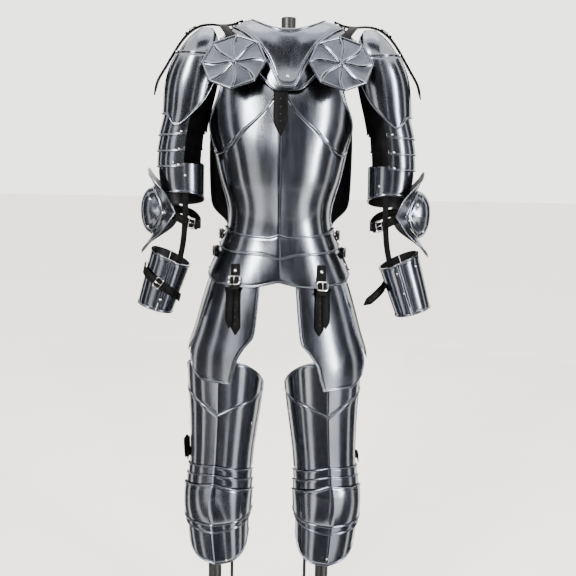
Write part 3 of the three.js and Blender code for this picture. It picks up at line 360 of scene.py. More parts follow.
# Straps.
def spline(points, count):
    """Points spaced evenly along a centripetal Catmull-Rom curve."""
    p = np.asarray(points, float)
    p = np.concatenate([[2 * p[0] - p[1]], p, [2 * p[-1] - p[-2]]])
    fine = []
    for i in range(len(p) - 3):
        near = p[i : i + 4]
        spans = np.maximum(np.linalg.norm(np.diff(near, axis=0), axis=1), 1e-6) ** 0.5
        knots = np.concatenate([[0.0], np.cumsum(spans)])
        t = np.linspace(knots[1], knots[2], 24, endpoint=False)[:, None]
        blend = list(near)
        for order, pairs in ((1, (0, 1, 2)), (2, (0, 1)), (1, (1,))):
            ends = [(knots[k], knots[k + order]) for k in pairs]
            blend = [((b - t) * blend[k] + (t - a) * blend[k + 1]) / (b - a) for k, (a, b) in enumerate(ends)]
        fine.append(blend[0])
    fine = np.concatenate(fine + [p[-2:-1]])
    run = np.concatenate([[0], np.cumsum(np.linalg.norm(np.diff(fine, axis=0), axis=1))])
    at = np.linspace(0, run[-1], count)
    return np.stack([np.interp(at, run, fine[:, k]) for k in range(3)], -1), run[-1]


class Strap:
    """A flat strap with rounded edges, a pressed groove along each, and a pointed end over `tip`."""

    def __init__(self, points, side, wide, thick=LEATHER, tip=0.0):
        length = np.linalg.norm(np.diff(np.asarray(points, float), axis=0), axis=1).sum()
        self.path, self.length = spline(points, max(12, int(length / 2.2)))
        self.along = unit(np.gradient(self.path, axis=0))
        side = unit(np.asarray(side, float))
        self.across = unit(side - self.along * (self.along @ side)[:, None])
        self.normal = np.cross(self.along, self.across)
        left = self.length * (1 - np.linspace(0, 1, len(self.path)))
        half = np.full(len(self.path), wide / 2)
        if tip:
            half *= np.clip(left / tip, 0.1, 1) ** 0.8
        self.half, self.thick, self.wide = half, thick, wide

    def into(self, piece):
        """Adds the strap to a piece."""
        t, e = self.thick / 2, 0.55
        across, level = [], []
        for sign in (1, -1):
            row = [(-1, 0, t - e), (-1, e, t), (-1, 2.0, t), (-1, 2.5, t - 0.35), (-1, 3.1, t)]
            row += [(1, 3.1, t), (1, 2.5, t - 0.35), (1, 2.0, t), (1, e, t), (1, 0, t - e)]
            for end, inset, high in row:
                across.append((end * sign, inset))
                level.append(high * sign)
        rings = []
        for p, a, n, h in zip(self.path, self.across, self.normal, self.half):
            squeeze = min(1.0, h / 4.0)
            ring = []
            for (end, inset), high in zip(across, level):
                ring.append(p + a * end * max(h - inset * squeeze, 0.05) + n * high)
            rings.append(ring)
        piece.ring_tube(rings, LEATHER_SLOT)
        return self

    def at(self, t):
        """Point, direction, width and face directions at a share of the length."""
        i = int(round(t * (len(self.path) - 1)))
        return self.path[i], self.along[i], self.across[i], self.normal[i]

    def facing(self, t, towards):
        """As at(), with the face direction turned to the side of a point."""
        p, along, across, normal = self.at(t)
        if np.dot(np.asarray(towards, float) - p, normal) < 0:
            normal = -normal
        return p + normal * self.thick / 2, along, across, normal


def buckle(piece, strap, share, towards, long, lift=1.2):
    """A frame with a tongue over it at a share of a strap's length, and a leather keeper below."""
    p, along, across, normal = strap.facing(share, towards)
    p = p + normal * lift
    half_w, half_l = strap.wide / 2 + 2.6, long / 2
    turn = np.linspace(0, 2 * math.pi, 40, endpoint=False)
    x, y = (np.sign(v) * np.abs(v) ** 0.45 for v in (np.cos(turn), np.sin(turn)))
    piece.wire(p + across * half_w * x[:, None] + along * half_l * y[:, None], 1.35, NICKEL, closed=True)
    tongue = [(-0.95, 0), (-0.2, 1.9), (1.08, 1.5)]
    tongue = [p + along * half_l * share + normal * high for share, high in tongue]
    piece.wire(spline(tongue, 10)[0], np.linspace(1.25, 0.8, 10), NICKEL)
    keeper_at = p + along * (half_l + 7)
    keeper(piece, (keeper_at - normal * lift, along, across, normal), strap.wide)


def keeper(piece, place, wide, long=6.0):
    """A narrow leather loop round a strap. Its sections are half of one each, distance out and height."""
    p, along, across, normal = place
    low, w = -LEATHER - 0.6, wide / 2
    outside = [(w + 1.4, low), (w + 1.4, 0.9), (w, 1.5)]
    inside = [(w + 0.3, low), (w + 0.3, 0.2), (w - 0.3, 0.5)]
    stops = (-long / 2, 0.5 - long / 2, long / 2 - 0.5, long / 2)
    grids = []
    for half in (outside, inside):
        row = [(-x, h) for x, h in half] + half[::-1]
        grids.append(np.array([[p + across * x + normal * h + along * s for x, h in row] for s in stops]))
    piece.shell(grids, LEATHER_SLOT, LEATHER_SLOT)


def circle(place, radius, lift, count):
    """Points round a place on a strap, lifted off it."""
    p, along, across, normal = place
    a = np.linspace(0, 2 * math.pi, count, endpoint=False)[:, None]
    return p + normal * lift + (across * np.cos(a) + along * np.sin(a)) * radius


def holes(piece, strap, towards, shares, radius=1.5):
    """Punched holes, each with a raised lip and filled with a near-black plug that is painted shade for the
    inside of the hole.
    """
    for t in shares:
        place = strap.facing(t, towards)
        piece.lathe(place[0], place[3], [(radius, -0.8), (radius, 0.06), (radius * 0.4, 0.08)], HOLE_SHADE, 12)
        piece.wire(circle(place, radius + 0.25, 0.1, 14), 0.28, LEATHER_SLOT, closed=True, sides=5)


def lying(skin, stops):
    """Points on a skin. Stops are (angle, z, lift)."""
    angle, z, lift = np.array(stops, float).T
    return skin(angle, z) + outward(skin, angle, z) * lift[:, None]


# Where a rivet goes is read off the photograph: the point of a plate that shows at a pixel.
def project(p):
    """The pixels at which points show."""
    t, r = math.radians(CAMERA["tilt"]), math.radians(CAMERA["roll"])
    dx, dy, dz = p[..., 0] - CAMERA["x"], p[..., 1] - CAMERA["y"], p[..., 2] - CAMERA["z"]
    depth = dy * math.cos(t) - dz * math.sin(t)
    u = CAMERA["focal"] * dx / depth
    v = CAMERA["focal"] * (dy * math.sin(t) + dz * math.cos(t)) / depth
    half = CAMERA["frame"] / 2
    return np.stack([half + u * math.cos(r) + v * math.sin(r), half - v * math.cos(r) + u * math.sin(r)], -1)


def nearest(grid, place, x, y, away=0.0):
    """The row and column of a grid that show nearest to a pixel. `away` adds to how far off a point is."""
    seen = project(place(grid.reshape(-1, 3))).reshape(grid.shape[:2] + (2,))
    miss = np.hypot(seen[..., 0] - x, seen[..., 1] - y) + away
    return np.unravel_index(np.argmin(miss), miss.shape)


def at_pixel(grid, place, x, y):
    """The point and outward direction of an outer grid nearest to a pixel, in the grid's own frame."""
    i, j = nearest(grid, place, x, y)
    i, j = min(max(i, 1), grid.shape[0] - 2), min(max(j, 1), grid.shape[1] - 2)
    return grid_point(grid, i, j)


def grid_point(grid, i, j):
    """A point of a grid and its outward direction."""
    up, across = grid[i + 1, j] - grid[i - 1, j], grid[i, j + 1] - grid[i, j - 1]
    return grid[i, j], unit(np.cross(across, up))


def share_point(grid, row, column):
    """A point and direction at shares of a grid's rows and columns."""
    i = int(round(mix(1, grid.shape[0] - 2, row)))
    j = int(round(mix(1, grid.shape[1] - 2, column)))
    return grid_point(grid, i, j)


def turned(p, matrix):
    return p @ np.array(matrix).T


def centre_of(part):
    """The middle of a part, from its table."""
    return np.array([part["x"], part["y"], part["z"]], float)


def rotation(axis, degrees):
    """A turn about an axis, as a matrix."""
    return np.array(Matrix.Rotation(math.radians(degrees), 3, axis))


# Trunk. Rows: z, x, y, wide, front, back.
TRUNK = [
    (740, 0, 0, 205, 147, 128),
    (821, 0, 0, 201, 144, 128),
    (870, 0, 0, 186, 138, 126),
    (925, 0, 0, 171, 133, 122),
    (985, 0, 0, 152, 124, 114),
    (1032, 0, 0, 131, 113, 106),
    (1047, 0, 0, 123.5, 109, 102.5),
    (1062, 0, 0, 117, 106, 99),
    (1076, 0, 0, 112, 104, 96.5),
    (1090, 0, 0, 108.5, 103.2, 95),
    (1112, 0, 0, 107, 105, 95),
    (1140, 0, 0, 112, 111, 98),
    (1180, 0, 0, 124, 118, 104),
    (1240, 0, 0, 136, 121, 111),
    (1293, 0, 0, 149, 116, 115),
    (1340, 0, 0, 151, 108, 116),
    (1380, 0, 0, 149, 97, 113),
    (1420, 0, 0, 140, 82, 105),
]
KEEL = curve([960, 1040, 1160, 1300, 1390], [0, 4, 7, 5, 0])
trunk = tube(TRUNK, keel=KEEL, keel_width=9)
BODY_FOOT, BODY_TOP = 1060, 1412
FRONT_LAME, REAR_LAME = 78, 102  # degrees from the front at which the front lames end and the rear one starts
BREAST_EDGE = curve([1100, 1180, 1240, 1285, 1310, 1345, 1380, 1412], [78, 84, 84, 79, 66, 53, 48, 45])
BREAST_LINE = even(
    [(0, 1352), (0.08, 1347), (0.2, 1316), (0.34, 1284), (0.5, 1253), (0.66, 1238), (0.82, 1235), (1, 1240)]
)
# Over the waist the backplate stands out wider than the breastplate. Rows: z, wide.
BACK_WIDE = [(1091, 108.5), (1101, 131), (1111, 143), (1125, 148), (1180, 150), (1293, 151)]
_depth = curve([row[0] for row in TRUNK], [row[5] for row in TRUNK])
back = tube(
    [row for row in TRUNK if row[0] < BACK_WIDE[0][0]]
    + [(z, 0, 0, wide, 104, float(_depth(z))) for z, wide in BACK_WIDE]
    + [row for row in TRUNK if row[0] > BACK_WIDE[-1][0]]
)
BACK_EDGE = curve([1100, 1180, 1270, 1330, 1412], [102, 97, 97, 116, 128])
WAIST_TOP = even([(0, 1080), (0.12, 1074), (0.6, 1077), (1, 1085)])
WAIST_FOOT = even([(0, 1027), (0.22, 1035), (0.6, 1036), (1, 1047)])
FAULD_FOOT = even([(0, 983), (0.3, 971), (0.65, 974), (1, 988)])
TASSET_Z = [772, 780, 795, 822, 850, 872, 925, 996]
TASSET_INNER = curve(TASSET_Z, [96, 94, 89, 82, 66, 48, 41, 35], 0.15)
TASSET_OUTER = curve(TASSET_Z, [160, 170, 183, 187, 180, 171, 154, 131], 0.15)
TASSET_IN = -LAP - RIM
SIDE_TASSET_FRONT = curve([812, 835, 900, 994], [86, 72, 62, 62])
SIDE_TASSET_BACK = curve([812, 835, 900, 994], [100, 110, 116, 116])


def breastplate():
    lines = [{"z": flat(BODY_FOOT)}, {"z": BREAST_LINE, "bead": BEAD, "width": 5}, {"z": flat(BODY_TOP)}]
    return plate(trunk, lambda z: (-BREAST_EDGE(z), BREAST_EDGE(z)), lines, side_rim=5)


def backplate():
    lines = [{"z": flat(BODY_FOOT)}, {"z": flat(BODY_TOP), "rim": RIM}]
    return plate(back, lambda z: (BACK_EDGE(z), 360 - BACK_EDGE(z)), lines, step=4.6)


def waist_lame():
    lines = [{"z": WAIST_FOOT, "rim": RIM}, {"z": WAIST_TOP, "rim": RIM}]
    return plate(trunk, each_side(FRONT_LAME), lines, out=LAP + 1.4)


def fauld_lame():
    lines = [{"z": FAULD_FOOT, "rim": RIM}, {"z": flat(1052)}]
    return plate(trunk, each_side(FRONT_LAME), lines)


def culet():
    lines = [{"z": flat(985), "rim": RIM}, {"z": flat(1087), "rim": RIM}]
    return plate(trunk, lambda z: (REAR_LAME, 360 - REAR_LAME), lines, out=LAP + 0.4)


def side_strap():
    lines = [{"z": flat(1000)}, {"z": flat(1084)}]
    return plate(trunk, lambda z: (FRONT_LAME - 7, REAR_LAME + 7), lines, out=-LAP - 0.3, thick=LEATHER)


def tasset():
    edges = lambda z: (angle_at(trunk, TASSET_INNER(z), z), angle_at(trunk, TASSET_OUTER(z), z))
    lines = [{"z": flat(TASSET_Z[0]), "rim": RIM}, {"z": flat(TASSET_Z[-1])}]
    return plate(trunk, edges, lines, out=TASSET_IN, side_rim=RIM_WIDTH, step=3)


def side_tasset():
    edges = lambda z: (SIDE_TASSET_FRONT(z), SIDE_TASSET_BACK(z))
    return plate(trunk, edges, [{"z": flat(812)}, {"z": flat(994)}], out=TASSET_IN - LAP)


# Gorget. Rows: angle, outer x y z, ridge x y z.
YOKE = [
    (0, 0, -115, 1357, 0, -115, 1362),
    (8, 15, -115, 1357, 13, -115, 1362),
    (16, 29, -114, 1358, 19, -112, 1377),
    (25, 50, -104, 1380, 32, -99, 1412),
    (42, 84, -84, 1408, 56, -80, 1446),
    (62, 118, -50, 1440, 92, -46, 1475),
    (90, 140, 2, 1462, 114, 2, 1486),
    (120, 118, 78, 1446, 88, 58, 1476),
    (150, 66, 118, 1424, 46, 86, 1462),
    (180, 0, 130, 1414, 0, 98, 1454),
]
NECK = {"x": 74, "front": 62, "back": 66, "low": 1478, "high": 1500}
YOKE_RIDGE = 0.35
_yoke = np.array(YOKE, float).T
YOKE_COLUMNS = [curve(_yoke[0], k, 0.2) for k in _yoke[1:]]


def yoke(angle, height):
    angle, height = np.broadcast_arrays(np.asarray(angle, float), np.asarray(height, float))
    around = (angle + 540) % 360 - 180
    turn, side = np.abs(around), np.where(around < 0, -1.0, 1.0)
    ox, oy, oz, rx, ry, rz = (column(turn) for column in YOKE_COLUMNS)
    a = np.radians(turn)
    deep = np.where(a < math.pi / 2, NECK["front"], NECK["back"])
    neck = [NECK["x"] * np.sin(a), -deep * np.cos(a), mix(NECK["low"], NECK["high"], np.sin(a) ** 2)]
    t = height / YOKE_RIDGE
    low = np.stack([side * mix(ox, rx, t), mix(oy, ry, t), mix(oz, rz, t)], -1)
    t = (height - YOKE_RIDGE) / (1 - YOKE_RIDGE)
    swell = 22 * t * (1 - t)
    x = side * (mix(rx, neck[0], t) + swell * np.sin(a) * 0.3)
    y, z = mix(ry, neck[1], t) - swell * np.cos(a) * 0.8, mix(rz, neck[2], t) + swell * 0.45
    high = np.stack([x, y, z], -1)
    return np.where((height < YOKE_RIDGE)[..., None], low, high)


yoke.dz = 0.01


def gorget(start, end):
    lines = [
        {"z": flat(0.0), "rim": RIM, "width": 0.05},
        {"z": flat(YOKE_RIDGE), "bead": BEAD, "width": 0.055},
        {"z": flat(1.0), "rim": RIM, "width": 0.04},
    ]
    return plate(yoke, lambda z: (start, end), lines, unit_mm=110, step=3.5)


# Arm. Rows: z, x, y, wide, front, back.
ARM = [
    (1130, 214, -4, 42, 44, 44),
    (1200, 218.5, -4, 47.5, 45, 45),
    (1240, 216, -4, 47, 46, 46),
    (1275, 211, -4, 44.5, 48, 48),
    (1310, 203, -4, 43, 51, 51),
    (1345, 197, -4, 47, 55, 54),
    (1380, 190, -4, 49, 57, 55),
    (1405, 184, -4, 46, 55, 53),
    (1430, 176, -4, 41, 50, 48),
    (1452, 169, -4, 33, 41, 40),
    (1468, 165, -4, 22, 28, 28),
    (1478, 163, -4, 8, 12, 12),
]
arm = tube(ARM, fullness=0.03)
PAULDRON_FRONT, PAULDRON_REAR, CAP_REAR = -50, 226, 200
PAULDRON_FOOT = curve(
    [PAULDRON_FRONT, -43, -35, -12, 15, 46, 92, 150, 200, PAULDRON_REAR],
    [1392, 1362, 1340, 1310, 1287, 1308, 1308, 1298, 1290, 1276],
    0.15,
)
ARM_LAME_FRONT, ARM_LAME_REAR = -12, 225
ARM_LAMES = [(1272, 8, 1312, 2.9), (1238, 5, 1275, 1.9), (1206, 4, 1242, 1.1)]  # foot, sag, top, laps out


def pauldron():
    foot = lambda c: PAULDRON_FOOT(mix(PAULDRON_FRONT, PAULDRON_REAR, (c + 1) / 2))
    lines = [{"z": foot, "rim": RIM}, {"z": flat(1430), "rim": RIM}]
    return plate(arm, lambda z: (PAULDRON_FRONT, PAULDRON_REAR), lines, out=4.2 * LAP, side_rim=RIM_WIDTH)


def pauldron_cap():
    lines = [{"z": flat(1418)}, {"z": flat(1477)}]
    return plate(arm, lambda z: (PAULDRON_FRONT, CAP_REAR), lines, out=3 * LAP - 0.3, step=2.6)


def arm_lame(foot, sag, top, out):
    lines = [{"z": lambda c: foot - sag * (1 + c) * (1 - c), "rim": RIM}, {"z": flat(top)}]
    return plate(arm, lambda z: (ARM_LAME_FRONT, ARM_LAME_REAR), lines, out=out * LAP, step=3.6)


def rerebrace():
    low = lambda a: 1138 + 16 * np.cos(np.radians(a))
    high = lambda a: 1216 + 6 * np.sin(np.radians(a))
    return cannon(arm, [{"z": low, "rim": 1.2, "width": 4}, {"z": high}], step=3)


# Couter. Rows: turn, edge x, edge radius, seam x, seam radius.
ELBOW = {"x": 236, "y": -6, "z": 1113, "round": 0.86}
ELBOW_MIDDLE = centre_of(ELBOW)
COUTER = [
    (-180, 224, 60, 256, 45),
    (-150, 240, 72, 262, 47),
    (-116, 294, 86, 276, 49),
    (-90, 304, 91, 281, 50),
    (-64, 298, 89, 276, 50),
    (-30, 250, 73, 258, 48),
    (0, 224, 62, 247, 46),
    (30, 242, 73, 256, 48),
    (64, 282, 89, 270, 50),
    (90, 287, 90, 273, 50),
    (116, 284, 86, 271, 49),
    (150, 250, 72, 260, 47),
    (180, 224, 60, 256, 45),
]
CUP_TIP, WING_THICK, CUP_FACETS = 304, 1.8, 0.42


def cusped(turn, column, front):
    """A column of the couter as one curve below its front point and one above it."""
    low = curve(turn[: front + 1], column[: front + 1], 0.12)
    high = curve(turn[front:], column[front:], 0.12)
    return lambda turn: np.where(np.asarray(turn) < 0, low(turn), high(turn))


_turn, *_columns = np.array(COUTER, float).T
EDGE_X, EDGE_R, SEAM_X, SEAM_R = (cusped(_turn, column, 6) for column in _columns)


def around_elbow(x, radius, turn):
    """Points at a distance x from the middle plane and a radius from the elbow's axis."""
    a = np.radians(turn)
    y = ELBOW["y"] - radius * np.cos(a) * ELBOW["round"]
    return np.stack([x + 0 * a, y, ELBOW["z"] + radius * np.sin(a)], -1)


def normals_of(grid):
    """Outward directions of a looped grid, by its neighbours."""
    across = np.roll(grid, -1, 1) - np.roll(grid, 1, 1)
    up = np.gradient(grid, axis=0)
    n = unit(np.cross(across, up))
    away = grid - ELBOW_MIDDLE
    return n * np.where((n * away).sum(-1, keepdims=True) < 0, -1, 1)


def couter_wing():
    turn = np.linspace(-180, 180, 180, endpoint=False)
    shares = [0, 0.006, 0.02, 0.045, 0.075, 0.105, 0.13, 0.145, 0.15, 0.2] + list(np.linspace(0.25, 1, 16))
    roll = [0, 0.6, 1.2, 1.6, 1.8, 1.6, 1.2, 0.6, 0, 0] + [0] * 16
    across, away = (EDGE_X(turn), SEAM_X(turn)), (EDGE_R(turn), SEAM_R(turn))
    grid = np.array([around_elbow(mix(*across, s), mix(*away, s), turn) for s in shares])
    n = normals_of(grid)
    inner = grid - unit(grid - ELBOW_MIDDLE) * WING_THICK
    return grid + n * (0.8 * np.array(roll))[:, None, None], inner


def couter_cup():
    turn = np.linspace(-180, 180, 160, endpoint=False)
    a = np.radians(turn)
    diamond = np.where(np.abs(turn) < 90, 1 / (np.abs(np.cos(a)) + np.abs(np.sin(a))), 1.0)
    rows = []
    for s in np.concatenate([[0, 0.012, 0.03, 0.055, 0.08, 0.1], np.linspace(0.13, 1, 26)]):
        swell = math.cos((0.03 + 0.968 * s) * math.pi / 2) ** 0.8
        crease = mix(1.0, diamond, CUP_FACETS * min(1.0, 4 * s))
        x = mix(SEAM_X(turn) + 1.6, CUP_TIP, math.sin(s * math.pi / 2))
        rows.append(around_elbow(x, SEAM_R(turn) * swell * crease, turn))
    grid = np.array(rows)
    n = normals_of(grid)
    roll = np.zeros(len(grid))
    roll[:6] = [0.2, 0.9, 1.3, 1.2, 0.7, 0]
    inner = grid - unit(grid - ELBOW_MIDDLE) * PLATE
    return grid + n * roll[:, None, None], inner


# Vambrace, in the forearm's own frame. Rows: z, x, y, wide, front, back.
forearm = tube([(-122, 0, 0, 37.5, 37, 37), (-60, 0, 0, 41, 42, 42), (0, 0, 0, 43.5, 46, 46)], fullness=0.03)
VAMBRACE = {"x": 241, "y": -8, "z": 1017, "lean": 18, "start": -10, "end": 170, "gap": 0.6, "length": 117}


def vambrace(start, end):
    top = lambda c: 6 * np.sin(np.radians(mix(start, end, (c + 1) / 2)))
    lines = [{"z": flat(-VAMBRACE["length"]), "rim": RIM}, {"z": top, "rim": RIM}]
    return plate(forearm, lambda z: (start, end), lines, side_rim=3.5, step=3)


# Besagew: a fluted octagon, in its own frame, facing -Y.
BESAGEW = {"x": 103, "y": -107, "z": 1410, "lean": 33, "turn": 8}
OCTAGON = {"radius": 64, "rib": 2.4, "ribs": 8, "twist": 10}


def besagew():
    b = OCTAGON
    a = np.linspace(0, 2 * math.pi, 192, endpoint=False)
    sector = 2 * math.pi / b["ribs"]
    middle = (a + 1e-9) % sector - sector / 2
    reach = b["radius"] * math.cos(sector / 2) / np.cos(middle)
    roll = [0.915, 0.925, 0.94, 0.96, 0.98, 0.992, 1.0]
    shares = np.concatenate([[0.03, 0.06], np.linspace(0.09, 0.9, 34), roll])
    front, back = [], []
    for s in shares:
        twist = math.radians(b["twist"]) * math.sin(math.pi * s)
        off = (np.abs(middle) - sector / 2) * b["radius"] * s
        rib = (b["rib"] - 0.2) * np.exp(-((np.abs(off) / 1.7) ** 2.0))
        dish = 0.9 * (1 - np.cos(2 * math.pi * (np.abs(middle) / sector))) * 0.5 * s
        high = 0.5 + rib * min(1, (0.97 - s) / 0.05 if s > 0.92 else 1) + 0.3 * dish
        if s > 0.92:
            high = np.maximum(high, 0.5 + b["rib"] * arch((s - 0.92) / 0.08))
        high = high + 1.6 * math.exp(-((s / 0.09) ** 2))
        x, z = reach * s * np.sin(a + twist), reach * s * np.cos(a + twist)
        front.append(np.stack([x, -high, z], -1))
        back.append(np.stack([x, 0 * a + PLATE, z], -1))
    return np.array(front), np.array(back)


# Leg, in its own frame, with the knee's middle at 0. Rows: z, x, y, wide, front, back.
LEG = [
    (-140, -13, 0, 58, 58, 56),
    (-109, -9.5, 0, 63, 62, 58),
    (-75, -5.5, 0, 66, 65, 60),
    (-40, -2, 0, 68, 67.5, 62),
    (0, 0, 0, 68.5, 69, 63),
    (80, 0, 0, 68.5, 71, 66),
    (110, 0, 0, 69, 72, 67),
    (157, 0, 0, 72, 75, 70),
    (205, 0, 0, 76, 79, 74),
    (250, 1, 0, 80, 84, 80),
    (330, 3, 0, 86, 90, 87),
]
leg = tube(LEG, fullness=0.03, keel=flat(3), keel_width=9)
KNEE = {"x": 121, "y": -4, "z": 470, "lean": 3.6, "toe_out": 6}
CUISSE_TOP = curve([-1, -0.87, -0.51, -0.32, 0, 0.4, 0.87, 1], [270, 279, 320, 337, 346, 335, 292, 286], 0.2)
CUISSE_LINE = even([(0, 219), (0.15, 231), (0.29, 241), (0.58, 253), (1, 261)])
SHIN_TILT, COP_SWELL, JOINT_GAP = 11, 9, 0.3
CUISSE_SIDE, KNEE_SIDE, SHIN_SIDE, GREAVE_SIDE = 104, 96, 90, 88  # degrees to each side of the front
GREAVE_FOOT = even([(0, -134), (0.35, -129), (0.65, -116), (0.85, -96), (1, -70)], 0.15)


def knee_line(middle, dip, side, tilt=0):
    line = even([(0, middle), (0.25, dip), (0.5, mix(dip, side, 0.3)), (1, side)])
    return lambda c: line(c) - tilt * c


KNEE_LAMES = [
    (knee_line(104, 98, 75), knee_line(68, 66, 46), 1.1),
    (knee_line(84, 78, 51), knee_line(46, 45, 22), 2),
]


def cuisse():
    lines = [{"z": flat(76)}, {"z": CUISSE_LINE, "bead": BEAD, "width": 5}, {"z": CUISSE_TOP, "rim": RIM}]
    return plate(leg, each_side(CUISSE_SIDE), lines, side_rim=RIM_WIDTH)


def knee_lame(top, foot, out):
    lines = [{"z": foot}, {"z": top, "rim": RIM, "width": 3.4}]
    return plate(leg, each_side(KNEE_SIDE), lines, out=out * LAP, step=3.6)


def knee_cop():
    dome = lambda c, z: COP_SWELL * (1 - c * c) ** 2 * np.maximum(0, 1 - ((z - 12) / 48) ** 2) ** 1.15
    foot, top = knee_line(-37, -36, -30, SHIN_TILT), knee_line(64, 55, 28)
    lines = [{"z": foot, "rim": RIM}, {"z": top, "rim": RIM}]
    return plate(leg, each_side(KNEE_SIDE), lines, out=3 * LAP, dome=dome, step=2.8)


def shin_lame():
    foot, top = knee_line(-56, -54, -43, SHIN_TILT), knee_line(-16, -16, -16, SHIN_TILT)
    lines = [{"z": foot, "rim": RIM}, {"z": top}]
    return plate(leg, each_side(SHIN_SIDE), lines, out=2 * LAP - JOINT_GAP, step=3)


def greave():
    lines = [{"z": GREAVE_FOOT, "rim": RIM}, {"z": knee_line(-36, -35, -28, SHIN_TILT)}]
    return plate(leg, each_side(GREAVE_SIDE), lines, out=LAP - JOINT_GAP, step=3)


# Straps: their widths, and points along the middle of each.
BIB_WIDE, BAND_WIDE, SHOULDER_WIDE, TAB_WIDE, ARM_WIDE, LINK_WIDE, THIGH_WIDE = 28, 15, 20, 17, 17, 12, 20
BIB_TOP, BIB_END = 1371, 1272
SIDE_BANDS = [(1026.8, 70, 112, 0), (1063.28, 74, 108, 1)]  # z, angles at the ends, plates lapped below
THIGH_STRAP = [(-65, -6, 92), (-63, 12, 92), (-54, 30, 92), (-34, 37.8, 92), (-4, 40.5, 92)]
THIGH_STRAP += [(16, 39.3, 92), (42, 36, 92), (65, 29, 92), (75.6, 12, 92), (74.6, -10, 92)]
THIGH_STRAP_END = [(75.2, -4, 88), (77, -7, 104), (78.5, -9, 122), (79.5, -10, 140)]
ELBOW_STRAP = [(241.6, -44.6, 1110), (230.6, -51.2, 1108), (219, -53.6, 1103), (206, -46, 1095)]
ELBOW_STRAP += [(188, -30, 1087), (180, -4, 1085), (186, 20, 1092)]
ELBOW_STRAP += [(202, 35.5, 1103), (222, 38.2, 1110), (240, 32.4, 1112)]
ELBOW_LINK = [(206, -42.6, 1166), (206, -43.6, 1130), (207, -45.8, 1092), (211.5, -42, 1050)]
ELBOW_LINK += [(218, -37.2, 1020), (222.1, -36.8, 1003), (227.7, -36.8, 984)]
SHOULDER_STRAP = [(92, 4, 1499), (114, 4, 1491), (136, 3, 1489)]
SHOULDER_STRAP += [(158, 2, 1490), (180, 0, 1486), (200, -1, 1474)]
SHOULDER_STRAP_END = [(1446, 0.6), (1420, 1.1), (1398, 4), (1372, 12), (1346, 16)]  # z, lift
BESAGEW_TAB = [(136, 4, 1489), (131, -22, 1486), (121, -48, 1474), (110, -68, 1457)]
TASSET_STRAP = {"x": 86, "wide": 19, "tip": 14}
# Rows: z, lift, and 1 where the strap lies on the tasset.
TASSET_STRAP_LIFT = [(1016, 0.2, 0), (996, 0.2, 0), (980, RIM + 0.6, 0), (970, RIM + 0.6, 0)]
TASSET_STRAP_LIFT += [(956, TASSET_IN + 0.6, 1), (920, TASSET_IN + 0.3, 1), (876, TASSET_IN + 0.3, 1)]
# Rows: angle, z.
FOREARM_STRAP = [(96, -38), (70, -42), (40, -47), (10, -54), (-10, -59), (-35, -66), (-60, -73), (-84, -80)]
FOREARM_STRAP_OPEN = [(-27, 38, -46), (-41, 20, -48), (-50, 4, -52), (-72, -6, -62), (-98, -10, -72)]


# Materials.
def node_material(name):
    material = bpy.data.materials.new(name)
    material.use_nodes = True
    tree = material.node_tree
    shader = tree.nodes["Principled BSDF"]
    return material, tree, shader


def noise(tree, scale, detail=4.0, rough=0.55, stretch=(1, 1, 1)):
    coords = tree.nodes.new("ShaderNodeTexCoord")
    mapping = tree.nodes.new("ShaderNodeMapping")
    mapping.inputs["Scale"].default_value = stretch
    texture = tree.nodes.new("ShaderNodeTexNoise")
    texture.inputs["Scale"].default_value = scale
    texture.inputs["Detail"].default_value = detail
    texture.inputs["Roughness"].default_value = rough
    tree.links.new(coords.outputs["Object"], mapping.inputs["Vector"])
    tree.links.new(mapping.outputs["Vector"], texture.inputs["Vector"])
    return texture.outputs["Fac"]


def pebbles(tree, scale):
    """The small rounded cells of leather grain."""
    coords = tree.nodes.new("ShaderNodeTexCoord")
    cells = tree.nodes.new("ShaderNodeTexVoronoi")
    cells.inputs["Scale"].default_value = scale
    tree.links.new(coords.outputs["Object"], cells.inputs["Vector"])
    return cells.outputs["Distance"]


def ramp(tree, value, stops):
    node = tree.nodes.new("ShaderNodeValToRGB")
    elements = node.color_ramp.elements
    while len(elements) < len(stops):
        elements.new(0.5)
    for element, (place, colour) in zip(elements, stops):
        element.position = place
        element.color = (*colour, 1) if isinstance(colour, tuple) else (colour, colour, colour, 1)
    tree.links.new(value, node.inputs["Fac"])
    return node.outputs["Color"]


def bump(tree, height, strength, distance, below=None):
    node = tree.nodes.new("ShaderNodeBump")
    node.inputs["Strength"].default_value = strength
    node.inputs["Distance"].default_value = distance
    tree.links.new(height, node.inputs["Height"])
    if below is not None:
        tree.links.new(below, node.inputs["Normal"])
    return node.outputs["Normal"]


def surface(name, spots, colour, rough, bumps=(), metallic=0.0, rub=None, specular=None):
    """A material. Its colour follows one noise, and its roughness the same or `rub`, or is one value.
    Rows of `bumps` are the height's maker, what it takes, strength and distance, laid over each other."""
    material, tree, shader = node_material(name)
    shader.inputs["Metallic"].default_value = metallic
    if specular is not None:
        shader.inputs["Specular IOR Level"].default_value = specular
    share = noise(tree, *spots)
    tree.links.new(ramp(tree, share, colour), shader.inputs["Base Color"])
    if isinstance(rough, float):
        shader.inputs["Roughness"].default_value = rough
    else:
        tree.links.new(ramp(tree, noise(tree, *rub) if rub else share, rough), shader.inputs["Roughness"])
    normal = None
    for maker, taken, strength, distance in bumps:
        normal = bump(tree, maker(tree, *taken), strength, distance, normal)
    if bumps:
        tree.links.new(normal, shader.inputs["Normal"])
    return material


